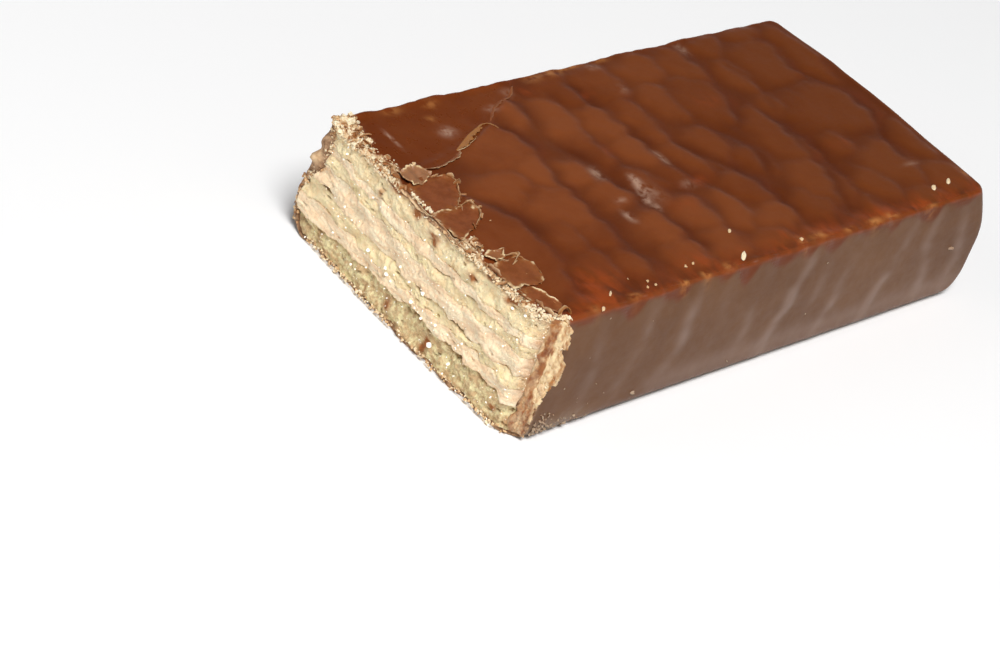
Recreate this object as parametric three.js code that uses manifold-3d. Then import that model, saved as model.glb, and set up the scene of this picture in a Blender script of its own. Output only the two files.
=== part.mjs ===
// Half of a chocolate-coated wafer bar, cut across, lying with its flatter, puddled face up.
// +X runs along the bar from the cut to the whole end, +Y points to the far long side,
// +Z is up. The origin is the centre of the bar's box, on the surface it lies on.
// Millimetres.
import * as THREE from "three";
import { mergeVertices } from "three/addons/utils/BufferGeometryUtils.js";
import Module from "manifold-3d";

const wasm = await Module();
wasm.setup();

// Outer form of the half bar
const rimLength = 59; // from the cut to the rim of the whole end, on the upper face
const rimWidth = 31.3; // between the rims of the long sides
const height = 13.3; // from the underside to the rims
const sideBulge = 0.6; // the long sides stand this far outside the rims, at half height
const endBulge = 2.2; // the whole end stands this far outside its rim, at half height
const rimRadius = 0.25;
const lowerSideRadius = 1.4;
const lowerEndRadius = 3.6;
const endBow = 0.7; // the whole end's rim bows out this far between its corners
const cornerRadius = 1.1; // of the whole end's two upright corners, seen from above
const farLump = 1.15; // the coat swells this far out of the far side beside the cut
const farLumpLength = 4.5;
const farLumpSkew = 0.52; // below 1 the swelling is widest under half height

// The cut bows out a little, and its near corner broke away
const cutMiddle = -1.45; // x of the cut in the middle of the width
const cutFarSide = -0.75;
const cutNearSide = -1.2;
const nearBreak = 2.1; // how much further back the near corner lies, at the rim
const nearBreakFoot = 1.2; // and at the underside
const nearBreakWidth = 2.0;
const cutRoughness = 0.3;

// Coat and layers, from the top down
const coatSide = 0.9; // beside the layers, at the rims
const coatEnd = 1.0; // beyond the layers, at the rim of the whole end
const coatFloor = 0.35; // under the layers
const coatTop = 0.4; // over the layers
const waferHeights = [2.0, 1.25, 1.95, 2.25]; // mean of the two long sides
const creamHeights = [0.95, 1.95, 2.2];
const seamTilts = [0.05, 0.1, 0.3, 0.15, -0.4, -0.4]; // rise of each seam from the middle to the far side
const seamBows = [-0.3, -0.45, -0.2, -0.65, 0.1, 1.0]; // how much higher it is in the middle
const layerGap = 0.06; // between one layer and the next
const coatGap = 0.1; // between the layers and the coat

// At the far side of the cut the lower layers are squashed outward and leave only a thin coat
const spread = { thinCoat: 0.3, fullBelow: 4.5, noneAbove: 10, length: 3.2, from: 0.6, slack: 0.9 };
const spreadStations = [2, 4.2, 7.2]; // distances behind the cut where the layers' far sides bend

// The wafer sheets' grid of ribs, which the cream fills
const ribPitch = 3.1;
const ribDepth = 0.26;
const sheetWave = 0.2; // slow rise and fall of a sheet across the bar
const sheetWaveLength = 17;
const crumbDepth = 0.35; // how far the broken wafer ends go in and out
const creamLead = 0.25; // smeared cream stands this far before the wafers
const lastWaferSetBack = 0.6; // the lowest sheet broke away a little deeper

// Puddled chocolate on the upper face: rows of low cells with valleys between them
const cellRows = [-5, 2, 10.1, 17.8, 23.6, 31, 39.9, 49.2, 57, 65]; // x of each row
const cellPitch = 5.8; // from cell to cell in a row
const cellJitter = 1.5;
const cellHeight = 0.34;
const cellEdgeWidth = 1.5; // width of the slope from a cell's top to a valley
const cellRise = 0.4; // share of a cell's height that stands above the rims
const inRowValley = 0.55; // depth of a valley inside a row, as a share of one between rows
const cellWarp = { reach: 0.7, wavelength: 8 }; // bends the valleys
const patchLength = 21.5; // smooth patch at the cut's far corner, along the far rim
const patchWidth = 9.45; // and along the cut
const patchDepth = 0.16;
const patchLip = 0.14; // raised lip where the patch ends
const patchLipWidth = 0.1; // as a share of the patch

// Drips down the sides
const dripPitch = 6.4;
const dripHeight = 0.16;
const dripSway = 1.3; // how far a drip wanders along the side on its way down

// Chips, crumbs and curls that the cut left on the coat
const rimChips = { count: 24, size: 0.62, flatness: 0.5, sunk: 0.28, spread: 0.5, lift: 0.25 };
const heapChips = { count: 9, size: 0.95, flatness: 0.8, sunk: 0.55, spread: 1.5, lift: 0.45 };
const burr = { reach: 1.15, thickness: 0.35, rooted: 0.7, foot: 0.37, curl: 0.5, raggedness: 0.35 };
const farKnob = { radius: 1.0, narrow: 0.85, proud: 0.35, level: 0.66 }; // lump on the far side
const curl = { radius: 0.62, thickness: 0.17, inward: 0.55, back: 0.6, turn: 70 }; // rolled shaving

// Wavelengths of the broken surfaces' roughness
const grain = { cut: 2.6, layer: 2.2, burr: 1.9 };

// Starting numbers of the random runs
const seeds = {
  cells: 11,
  warpX: 5,
  warpY: 6,
  drips: 23,
  cut: 37,
  burr: 59,
  debris: 71,
  seam: 101,
  layer: 211,
};

// Fineness of the meshes
const coatSteps = { along: 40, across: 22 };
const burrSteps = { through: 1, outward: 2, up: 14 };
const coatLevels = [0, 0.35, 1.4, 3.6, 6.6, 9.4, 11.4, 12.5, height - rimRadius, height];
const layerSteps = { across: 34, up: 2, spaceAcross: 8, spaceUp: 16 };

const halfWidth = rimWidth / 2;

// A repeatable run of numbers between 0 and 1
function makeRandom(seed) {
  const multiplier = 16807;
  const modulus = 2147483647;
  let state = seed;
  return () => {
    state = (state * multiplier) % modulus;
    return state / modulus;
  };
}

// A smooth field between about -1 and 1: a few plane waves near one wavelength
function makeWobble(seed, wavelength, waves = 5) {
  const random = makeRandom(seed);
  random();
  const parts = Array.from({ length: waves }, () => {
    const heading = 2 * Math.PI * random();
    const rate = (2 * Math.PI) / (wavelength * THREE.MathUtils.lerp(0.7, 1.5, random()));
    return {
      x: rate * Math.cos(heading),
      y: rate * Math.sin(heading),
      phase: 2 * Math.PI * random(),
    };
  });
  const scale = 1 / Math.sqrt(waves);
  return (x, y) => scale * parts.reduce((sum, p) => sum + Math.sin(p.x * x + p.y * y + p.phase), 0);
}

// A box of unit sides with its vertices shared and each one put where place() says
function shapedBox(along, across, up, place) {
  const box = new THREE.BoxGeometry(1, 1, 1, along, across, up);
  box.deleteAttribute("normal");
  box.deleteAttribute("uv");
  const geometry = mergeVertices(box);
  const corners = geometry.attributes.position;
  const corner = new THREE.Vector3();
  for (let i = 0; i < corners.count; i++) {
    corner.fromBufferAttribute(corners, i).addScalar(0.5);
    corner.copy(place(corner.x, corner.y, corner.z));
    corners.setXYZ(i, corner.x, corner.y, corner.z);
  }
  return geometry;
}

function solidOf(geometry) {
  const bare = geometry.clone();
  bare.deleteAttribute("normal");
  bare.deleteAttribute("uv");
  const merged = mergeVertices(bare);
  return new wasm.Manifold(
    new wasm.Mesh({
      numProp: 3,
      vertProperties: new Float32Array(merged.attributes.position.array),
      triVerts: new Uint32Array(merged.index.array),
    }),
  );
}

function geometryOf(solid) {
  const mesh = solid.getMesh();
  return new THREE.BufferGeometry()
    .setAttribute("position", new THREE.BufferAttribute(mesh.vertProperties, 3))
    .setIndex(new THREE.BufferAttribute(mesh.triVerts, 1));
}

// Where the cut lies along the bar at a place across it and a height, without its roughness
function cutAt(y, z = height) {
  const across = y / halfWidth;
  const slope = (cutFarSide - cutNearSide) / 2;
  const bow = (cutFarSide + cutNearSide) / 2 - cutMiddle;
  const deepest = THREE.MathUtils.lerp(nearBreakFoot, nearBreak, Math.min(1, z / height));
  const broken = deepest * THREE.MathUtils.smoothstep(-across, 1 - nearBreakWidth / halfWidth, 1);
  return cutMiddle + slope * across + bow * across ** 2 + broken;
}

// How far the outline draws in from its widest, at a height, for a side of this bulge and radius
function drawIn(z, bulge, lowerRadius) {
  const reach = Math.min(1, (height - z) / (height / 2));
  const lean = bulge * (1 - Math.sin((Math.PI / 2) * reach));
  const below = Math.max(0, lowerRadius - z);
  const lower = lowerRadius - Math.sqrt(lowerRadius ** 2 - below ** 2);
  const above = Math.max(0, z - (height - rimRadius));
  const rim = rimRadius - Math.sqrt(rimRadius ** 2 - above ** 2);
  return lean + lower + rim;
}

// Cell centres in jittered rows, every second row shifted by half a cell
function makeCells(seed) {
  const random = makeRandom(seed);
  const columns = Math.ceil(rimWidth / cellPitch) + 2;
  return cellRows.flatMap((rowX, row) =>
    Array.from({ length: columns + 1 }, (_, i) => {
      const column = i - 1 + (row % 2) / 2;
      const x = rowX + cellJitter * (2 * random() - 1);
      const y = cellPitch * column - halfWidth + cellJitter * (2 * random() - 1);
      return { x, y, row };
    }),
  );
}

const cells = makeCells(seeds.cells);
const warpX = makeWobble(seeds.warpX, cellWarp.wavelength);
const warpY = makeWobble(seeds.warpY, cellWarp.wavelength);

// Height of the puddled cells: full in a cell and low where two cells meet, lowest between rows
function cellRelief(flatX, flatY) {
  const x = flatX + cellWarp.reach * warpX(flatX, flatY);
  const y = flatY + cellWarp.reach * warpY(flatX, flatY);
  const ranked = cells
    .map((cell) => ({ row: cell.row, distance: Math.hypot(x - cell.x, y - cell.y) }))
    .sort((a, b) => a.distance - b.distance);
  const own = ranked.shift();
  const valleyTo = (neighbour) =>
    1 - THREE.MathUtils.smoothstep(neighbour.distance - own.distance, 0, cellEdgeWidth);
  const inRow = inRowValley * valleyTo(ranked.find((cell) => cell.row === own.row));
  const betweenRows = valleyTo(ranked.find((cell) => cell.row !== own.row));
  return cellHeight * (cellRise - Math.max(inRow, betweenRows));
}

// Relief of the whole upper face, with the smooth patch and its lip at the far end of the cut
function topRelief(x, y) {
  const fromFarRim = halfWidth - y;
  const patchEdge = 1 - (x / patchLength) ** 2 - fromFarRim / patchWidth; // above 0 inside
  const inside = THREE.MathUtils.smoothstep(patchEdge, -patchLipWidth, patchLipWidth);
  const lip = patchLip * Math.exp(-((patchEdge / patchLipWidth + 1) ** 2));
  return (1 - inside) * cellRelief(x, y) - inside * patchDepth + lip;
}

const dripField = makeWobble(seeds.drips, 2 * dripPitch, 3);

// How far a drip stands out of a side, at a distance along it and a height
function dripRelief(along, z) {
  const swayed = along + dripSway * Math.sin((2 * Math.PI * z) / height);
  const wave = Math.sin((2 * Math.PI * swayed) / dripPitch + dripField(along, 0));
  const fade = Math.sin((Math.PI * Math.min(z, height)) / height);
  return dripHeight * wave * fade;
}

// Takes a point of a rectangle's corner zone to a rounded corner, and leaves the others
function roundedCorner(x, y, cornerX, cornerY, radius) {
  const a = (x - (cornerX - radius)) / radius;
  const b = (Math.abs(y) - (cornerY - radius)) / radius;
  if (a <= 0 || b <= 0) return [x, y];
  return [
    cornerX - radius + radius * a * Math.sqrt(1 - (b * b) / 2),
    Math.sign(y) * (cornerY - radius + radius * b * Math.sqrt(1 - (a * a) / 2)),
  ];
}

const cutField = makeWobble(seeds.cut, grain.cut, 6);

// Swelling of the far side's coat beside the cut
function lumpRelief(x, z) {
  const along = Math.exp(-((x / farLumpLength) ** 2));
  const level = (Math.min(z, height) / height) ** farLumpSkew;
  return farLump * along * Math.sin(Math.PI * level) ** 2;
}

function coatBody() {
  const levels = coatLevels.length - 1;
  return shapedBox(coatSteps.along, coatSteps.across, levels, (u, v, w) => {
    const level = coatLevels[Math.round(w * levels)];
    const cornerY = halfWidth + sideBulge - drawIn(level, sideBulge, lowerSideRadius);
    const flatY = (2 * v - 1) * cornerY;
    const bow = endBow * (1 - (2 * v - 1) ** 2);
    const cornerX = rimLength + bow + endBulge - drawIn(level, endBulge, lowerEndRadius);
    const start = cutAt(flatY, level) + cutRoughness * cutField(flatY, level);
    const flatX = THREE.MathUtils.lerp(start, cornerX, u);
    const [x, y] = roundedCorner(flatX, flatY, cornerX, cornerY, cornerRadius);
    const onSide = v === 0 || v === 1;
    const onTop = w === 1;
    const out = onSide ? dripRelief(x, level) + v * lumpRelief(x, level) : 0;
    const end = u === 1 ? dripRelief(y + rimLength, level) : 0;
    const up = onTop && !onSide && u < 1 ? topRelief(x, y) : 0;
    return new THREE.Vector3(x + end, y + Math.sign(y) * out, level + up);
  });
}

// How far the layers are squashed outward on the far side
function spreadAt(x, z) {
  const behind = Math.max(0, x - cutFarSide);
  const outside = halfWidth + sideBulge - drawIn(z, sideBulge, lowerSideRadius) + lumpRelief(x, z);
  const room = outside - spread.thinCoat - (halfWidth - coatSide);
  const level = 1 - THREE.MathUtils.smoothstep(z, spread.fullBelow, spread.noneAbove);
  return Math.max(0, room) * level * Math.exp(-((behind / spread.length) ** 2));
}

// Carries the spread of a layer's far side into the layer
function spreadShare(across) {
  return THREE.MathUtils.smoothstep(across, spread.from, 1);
}

// The space for the layers, open at the cut
function layerSpace() {
  const pastCut = 6;
  const bends = spreadStations.map((behind) => cutFarSide + behind);
  const places = [-pastCut, cutFarSide, ...bends, rimLength - coatEnd];
  const last = places.length - 1;
  const { spaceAcross, spaceUp } = layerSteps;
  return shapedBox(last, spaceAcross, spaceUp, (u, v, w) => {
    const x = places[Math.round(u * last)];
    const y = (2 * v - 1) * (halfWidth - coatSide);
    const z = THREE.MathUtils.lerp(coatFloor, height - coatTop, w);
    return new THREE.Vector3(x, y + spreadAt(x, z) * spreadShare(2 * v - 1), z);
  });
}

// A broken chip of this kind: a few-sided lump, squashed and turned
function chip(kind, random) {
  const lump = new THREE.IcosahedronGeometry(kind.size * THREE.MathUtils.lerp(0.7, 1.3, random()));
  lump.scale(1, THREE.MathUtils.lerp(0.6, 1.1, random()), kind.flatness);
  lump.rotateX(Math.PI * random());
  return lump.rotateZ(Math.PI * random());
}

// Chips of one kind on the cut's upper edge, spread from one place across the bar to another
function chipsAlong(kind, fromY, toY, random) {
  return Array.from({ length: kind.count }, (_, i) => {
    const y = THREE.MathUtils.lerp(fromY, toY, (i + random()) / kind.count);
    const z = height - kind.sunk + kind.lift * random();
    const lump = chip(kind, random);
    return lump.translate(cutAt(y) + kind.spread * random(), y, z);
  });
}

function knobOnFarSide() {
  const { radius, narrow, proud, level } = farKnob;
  const knob = new THREE.IcosahedronGeometry(radius, 1).scale(narrow, narrow, 1);
  return knob.translate(cutAt(halfWidth), halfWidth + proud, level * height);
}

function curlOnNearCorner() {
  const { radius, thickness, inward, back, turn } = curl;
  const ring = new THREE.TorusGeometry(radius, thickness, 5, 10);
  ring.rotateX(THREE.MathUtils.degToRad(turn));
  return ring.translate(cutAt(-halfWidth) + back, -halfWidth + inward, height + thickness / 2);
}

function cutDebris() {
  const random = makeRandom(seeds.debris);
  return [
    ...chipsAlong(rimChips, -halfWidth, halfWidth, random),
    ...chipsAlong(heapChips, halfWidth - rimRadius, halfWidth - heapChips.spread, random),
    knobOnFarSide(),
    curlOnNearCorner(),
  ];
}

// The torn ledge down the near side of the cut, widest near the rim and curled back a little
function sideBurr() {
  const field = makeWobble(seeds.burr, grain.burr);
  const { through, outward, up } = burrSteps;
  const inner = -halfWidth + burr.rooted;
  return shapedBox(through, outward, up, (u, v, w) => {
    const z = THREE.MathUtils.lerp(burr.foot * height, height - burr.thickness, w);
    const reach = burr.reach * Math.sqrt(w) * (1 + burr.raggedness * field(z, 0));
    const y = THREE.MathUtils.lerp(-halfWidth - Math.max(rimRadius, reach), inner, v);
    const back = burr.curl * (1 - v) ** 2 + burr.thickness * (u + 0.5);
    return new THREE.Vector3(cutAt(y, z) + back, y, z);
  });
}

// The coat with its debris in one body, and the layers' space taken out
function coatSolid() {
  const pieces = [coatBody(), sideBurr(), ...cutDebris()].map(solidOf);
  const joined = wasm.Manifold.union(pieces).subtract(solidOf(layerSpace()));
  const bodies = joined.decompose().sort((a, b) => b.volume() - a.volume());
  return geometryOf(bodies[0]);
}

// Height of the face between two layers across the bar: ribs on a slow wave, tilted and bowed
function makeSeam(base, tilt, bow, seed) {
  const random = makeRandom(seed);
  random();
  const ribShift = random();
  const waveShift = 2 * Math.PI * random();
  const field = makeWobble(seed + 5, ribPitch, 3);
  return (y) => {
    const rib = Math.abs((((y / ribPitch + ribShift) % 1) + 1) % 1 - 0.5) * 4 - 1;
    const wave = Math.sin((2 * Math.PI * y) / sheetWaveLength + waveShift);
    const across = y / halfWidth;
    const level = base + tilt * across + bow * (1 - across ** 2);
    return level + (ribDepth / 2) * (rib + 0.5 * field(y, 0)) + (sheetWave / 2) * wave;
  };
}

// One layer between two seams, with a broken end at the cut
function layer(floor, ceiling, seed, roughness, lead) {
  const field = makeWobble(seed, grain.layer, 6);
  const wide = halfWidth - coatSide - coatGap;
  const farEnd = rimLength - coatEnd - coatGap;
  const { across, up } = layerSteps;
  const isSquashed = floor(0) < spread.noneAbove;
  const bends = isSquashed ? spreadStations.map((behind) => cutFarSide + behind) : [];
  const places = [...bends, farEnd];
  const last = places.length;
  return shapedBox(last, across, up, (u, v, w) => {
    const y = (2 * v - 1) * wide;
    const z = THREE.MathUtils.lerp(floor(y), ceiling(y), w);
    const start = cutAt(y, z) + lead + roughness * field(y, z);
    const x = u === 0 ? start : places[Math.round(u * last) - 1];
    const out = isSquashed ? spread.slack * spreadAt(x, z) * spreadShare(2 * v - 1) : 0;
    return new THREE.Vector3(x, y + out, z);
  });
}

const chocolate = { color: 0x6f452c, roughness: 0.45, metalness: 0 };
const bakedWafer = { color: 0xe0c99b, roughness: 0.9, metalness: 0 };
const nutCream = { color: 0xebcfab, roughness: 0.7, metalness: 0 };

function named(name, geometry, look) {
  const mesh = new THREE.Mesh(geometry, new THREE.MeshStandardMaterial(look));
  mesh.name = name;
  return mesh;
}

// The sheets and creams in turn, from the top down
function layerMeshes() {
  const meshes = [];
  const kinds = waferHeights.flatMap((sheet, i) =>
    i < creamHeights.length ? [["wafer", sheet, i], ["cream", creamHeights[i], i]] : [["wafer", sheet, i]],
  );
  let top = height - coatTop;
  let ceiling = () => height - coatTop - coatGap;
  kinds.forEach(([kind, thickness, index], i) => {
    const bottom = top - thickness;
    const isLast = i === kinds.length - 1;
    const seam = makeSeam(bottom, seamTilts[i], seamBows[i], seeds.seam + 7 * i);
    const floor = isLast ? () => coatFloor + coatGap : (y) => seam(y) + layerGap / 2;
    const isWafer = kind === "wafer";
    const lead = isWafer ? (isLast ? lastWaferSetBack : 0) : -creamLead;
    const roughness = isWafer ? crumbDepth : crumbDepth / 2;
    const geometry = layer(floor, ceiling, seeds.layer + 13 * i, roughness, lead);
    meshes.push(named(`${kind}_${index + 1}`, geometry, isWafer ? bakedWafer : nutCream));
    ceiling = (y) => seam(y) - layerGap / 2;
    top = bottom;
  });
  return meshes;
}

const bar = new THREE.Group();
bar.add(named("coat", coatSolid(), chocolate));
bar.add(...layerMeshes());

// Puts the origin at the middle of the box, on the underside
const box = new THREE.Box3().setFromObject(bar);
const middle = box.getCenter(new THREE.Vector3());
bar.position.set(-middle.x, -middle.y, -box.min.z);

export default bar;
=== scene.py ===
# Looks of half a chocolate-coated wafer bar, cut across and lying upside down.
# Unless a note says otherwise lengths are millimetres of the bar itself: x runs from the cut to the
# whole end, y from the near long side to the far one with 0 in the middle, z up from the underside.
import itertools
import math
import bmesh
import bpy
import numpy as np
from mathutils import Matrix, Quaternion, Vector


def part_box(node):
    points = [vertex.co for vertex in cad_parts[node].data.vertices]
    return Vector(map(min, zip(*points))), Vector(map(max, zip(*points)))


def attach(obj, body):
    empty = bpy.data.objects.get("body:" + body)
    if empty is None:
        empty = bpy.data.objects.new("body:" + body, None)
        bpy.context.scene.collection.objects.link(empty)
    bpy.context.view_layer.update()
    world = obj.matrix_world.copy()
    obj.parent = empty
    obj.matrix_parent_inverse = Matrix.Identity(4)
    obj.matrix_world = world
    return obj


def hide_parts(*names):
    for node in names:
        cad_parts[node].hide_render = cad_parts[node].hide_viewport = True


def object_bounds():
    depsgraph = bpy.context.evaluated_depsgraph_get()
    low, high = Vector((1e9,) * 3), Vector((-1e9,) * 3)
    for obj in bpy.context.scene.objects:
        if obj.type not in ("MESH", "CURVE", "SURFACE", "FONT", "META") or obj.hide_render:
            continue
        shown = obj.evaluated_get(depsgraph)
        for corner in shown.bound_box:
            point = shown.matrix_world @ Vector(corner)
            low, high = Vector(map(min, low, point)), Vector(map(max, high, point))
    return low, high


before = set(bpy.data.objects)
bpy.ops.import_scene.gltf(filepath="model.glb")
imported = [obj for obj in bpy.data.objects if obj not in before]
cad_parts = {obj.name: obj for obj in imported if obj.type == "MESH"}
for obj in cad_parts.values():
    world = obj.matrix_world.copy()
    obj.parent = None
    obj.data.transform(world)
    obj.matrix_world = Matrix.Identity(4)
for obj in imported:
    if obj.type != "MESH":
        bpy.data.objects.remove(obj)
cadLow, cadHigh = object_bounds()

bar = {
    "rimLength": 59.0, "rimWidth": 31.3, "height": 13.3,
    "sideBulge": 0.6, "endBulge": 2.2, "rimRadius": 0.25, "lowerSideRadius": 1.4, "lowerEndRadius": 3.6,
    "endBow": 0.7, "cornerRadius": 1.1, "farLump": 1.15, "farLumpLength": 4.5, "farLumpSkew": 0.52,
    "coatSide": 0.9, "coatEnd": 1.0, "coatFloor": 0.35, "coatTop": 0.4, "coatGap": 0.1,
}
cut = {
    "middle": -1.45, "farSide": -0.75, "nearSide": -1.2,  # x of the cut
    "nearBreak": 2.1, "nearBreakFoot": 1.2, "nearBreakWidth": 2.0,  # the near corner broke further back
    "roughness": 0.3,
}
spread = {  # at the far side of the cut the lower layers are squashed outward
    "thinCoat": 0.25, "fullBelow": 4.5, "noneAbove": 10.0, "length": 3.2, "from": 0.6,
}
halfWidth = bar["rimWidth"] / 2
wallY = halfWidth - bar["coatSide"]  # inner face of the coat's long sides
layersEnd = bar["rimLength"] - bar["coatEnd"] - bar["coatGap"]

# The top sheet ends at layersEnd and lies evenly about y = 0, which places the bar in the frame
sheetLow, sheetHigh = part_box("wafer_1")
barShift = np.array([layersEnd - 1000 * sheetHigh.x, -500 * (sheetLow.y + sheetHigh.y), 0.0])
boxLow, boxHigh = np.array(cadLow) * 1000 + barShift, np.array(cadHigh) * 1000 + barShift


def toFrame(points):
    return (np.asarray(points, float) - barShift) * 0.001


# Repeatable randomness and noise

def makeRandom(seed):
    state = seed

    def draw():
        nonlocal state
        state = state * 16807 % 2147483647
        return state / 2147483647

    return draw


def makeWobble(seed, wavelength, waves=5):
    # a smooth field between about -1 and 1: a few plane waves near one wavelength
    draw = makeRandom(seed)
    draw()
    parts = []
    for _ in range(waves):
        heading = 2 * math.pi * draw()
        rate = 2 * math.pi / (wavelength * (0.7 + 0.8 * draw()))
        parts.append((rate * math.cos(heading), rate * math.sin(heading), 2 * math.pi * draw()))
    return lambda x, y: sum(np.sin(a * x + b * y + c) for a, b, c in parts) / math.sqrt(waves)


def cornerValue(cells, seed):
    # a number from 0 to 1 for each whole-numbered lattice corner
    mixed = cells @ np.array([73856093, 19349663, 83492791]) + seed * 26544357
    mixed = (mixed ^ (mixed >> 13)) * 1274126177
    mixed = mixed ^ (mixed >> 16)
    return (mixed & 0xFFFFFF) / 0xFFFFFF


def smoothNoise(points, size, seed):
    # from -1 to 1, with features of this size
    scaled = points / size
    base = np.floor(scaled).astype(np.int64)
    part = scaled - base
    part = part * part * (3 - 2 * part)
    total = 0
    for corner in itertools.product((0, 1), repeat=3):
        weight = np.where(corner, part, 1 - part).prod(-1)
        total = total + weight * cornerValue(base + np.array(corner), seed)
    return 2 * total - 1


def roughNoise(points, size, seed, octaves=3, gain=0.5):
    size = np.asarray(size, float)
    shares = [gain**i for i in range(octaves)]
    return sum(s * smoothNoise(points, size * 0.5**i, seed + i) for i, s in enumerate(shares)) / sum(shares)


def nearestSpots(points, size, seed):
    # distance to the nearest and the second nearest of scattered spots, and a number for the nearest one
    scaled = points / size
    base = np.floor(scaled).astype(np.int64)
    nearest = np.full(len(points), 9.0)
    second = nearest.copy()
    number = np.zeros(len(points))
    for step in itertools.product((-1, 0, 1), repeat=3):
        cell = base + np.array(step)
        spot = cell + np.stack([cornerValue(cell, seed + k) for k in range(3)], -1)
        distance = np.linalg.norm(spot - scaled, axis=-1)
        closer = distance < nearest
        second = np.where(closer, nearest, np.minimum(second, distance))
        number = np.where(closer, cornerValue(cell, seed + 7), number)
        nearest = np.where(closer, distance, nearest)
    return nearest, second, number


def uneven(points, relief, seed, octaves=3, gain=0.5):
    height, length = relief
    return height * roughNoise(points, length, seed, octaves, gain)


def smoothStep(value, low, high):
    t = np.clip((value - low) / (high - low), 0, 1)
    return t * t * (3 - 2 * t)


def lerp(a, b, t):
    return a + (b - a) * t


def bell(away, width):
    # 1 at 0 and falling off on both sides of it
    return np.exp(-((away / width) ** 2))


def pointsAt(x, y, z):
    # a plain number stands for all the points
    return np.stack(np.broadcast_arrays(x, y, z), -1)


def spaced(*spans):
    # places along a line: each span is its end and the step up to there, from 0 on
    places = [0.0]
    for end, step in spans:
        count = max(1, round((end - places[-1]) / step))
        places += list(np.linspace(places[-1], end, count + 1)[1:])
    return np.array(places)


# Outer form of the half bar, by the same rules as the solid

def cutAt(y, z=bar["height"]):
    across = y / halfWidth
    slope = (cut["farSide"] - cut["nearSide"]) / 2
    bow = (cut["farSide"] + cut["nearSide"]) / 2 - cut["middle"]
    deepest = lerp(cut["nearBreakFoot"], cut["nearBreak"], np.clip(z / bar["height"], 0, 1))
    broken = deepest * smoothStep(-across, 1 - cut["nearBreakWidth"] / halfWidth, 1)
    return cut["middle"] + slope * across + bow * across**2 + broken


cutField = makeWobble(37, 2.6, 6)


def cutFace(y, z):
    return cutAt(y, z) + 0.5 * cut["roughness"] * cutField(y, z)


def drawIn(z, bulge, lowerRadius):
    # how far the outline draws in from its widest at a height
    height, rimRadius = bar["height"], bar["rimRadius"]
    reach = np.minimum(1, (height - z) / (height / 2))
    lean = bulge * (1 - np.sin(math.pi / 2 * reach))
    below = np.maximum(0, lowerRadius - z)
    above = np.clip(z - (height - rimRadius), 0, rimRadius)
    lower = lowerRadius - np.sqrt(lowerRadius**2 - below**2)
    return lean + lower + rimRadius - np.sqrt(rimRadius**2 - above**2)


def sideAt(z):
    # how far a long side stands from the middle, without its relief
    return halfWidth + bar["sideBulge"] - drawIn(z, bar["sideBulge"], bar["lowerSideRadius"])


def roundedCorner(x, y, cornerX, cornerY):
    radius = bar["cornerRadius"]
    a = (x - (cornerX - radius)) / radius
    b = (np.abs(y) - (cornerY - radius)) / radius
    inside = (a > 0) & (b > 0)
    a, b = np.clip(a, 0, 1), np.clip(b, 0, 1)
    roundX = cornerX - radius + radius * a * np.sqrt(1 - b * b / 2)
    roundY = np.sign(y) * (cornerY - radius + radius * b * np.sqrt(1 - a * a / 2))
    return np.where(inside, roundX, x), np.where(inside, roundY, y)


def lumpRelief(x, z):
    along = bell(x, bar["farLumpLength"])
    level = np.clip(z / bar["height"], 0, 1) ** bar["farLumpSkew"]
    return bar["farLump"] * along * np.sin(math.pi * level) ** 2


def spreadAt(x, y, z):
    # how far the layers are squashed outward on the far side of the cut
    outside = sideAt(z) + lumpRelief(x, z)
    room = np.maximum(0, outside - spread["thinCoat"] - wallY)
    level = 1 - smoothStep(z, spread["fullBelow"], spread["noneAbove"])
    behind = np.maximum(0, x - cut["farSide"])
    return room * level * smoothStep(y / wallY, spread["from"], 1) * bell(behind, spread["length"])


# Puddled chocolate of the upper face: flat scales that end in a soft step, with dark valleys between them,
# partly painted shade

puddles = {
    "squareness": 2.5, "grow": (1.25, 1.14),  # how much larger than listed the scales are
    "ahead": 0.16, "behind": 0.62, "outside": 0.12,  # softness of a scale's edge on each side
    "tilt": 0.35,  # a scale is highest towards the whole end
    "crease": 0.16,  # where two scales touch
    "open": (1.3, 1.7), "refill": 0.7,  # wider gaps are filled up again
    "scaleHeight": 0.22, "valleyDepth": 0.22, "creaseDepth": 0.07, "middle": 0.5,  # shares of the relief
    "sharp": 0.42, "gradual": 1.35,  # width of a valley towards the cut and away from it
    # painted shade: the colour is painted darker round the scales and in the creases
    "scaleShade": 0.68, "creaseShade": 0.5,  # how dark it is round the scales and in creases
    "warp": (0.35, 0.2), "warpLength": (6.5, 2.2),  # slow and quick bends of the outlines
    "deepest": -0.3, "rimFade": 1.1,
    "valleyEnds": (1.4, 0.8),  # how far beyond and inside its ends a valley fades out
    "valleyStrength": (0.8, 0.5, 3.5),  # its middle, swing, and the length over which it changes
    "stepAt": 0.97, "stepWidth": 0.09,
    "ripple": (0.035, 2.6), "grit": (0.01, 0.7), "ridges": (0.035, 1.2),  # height and length
}
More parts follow.
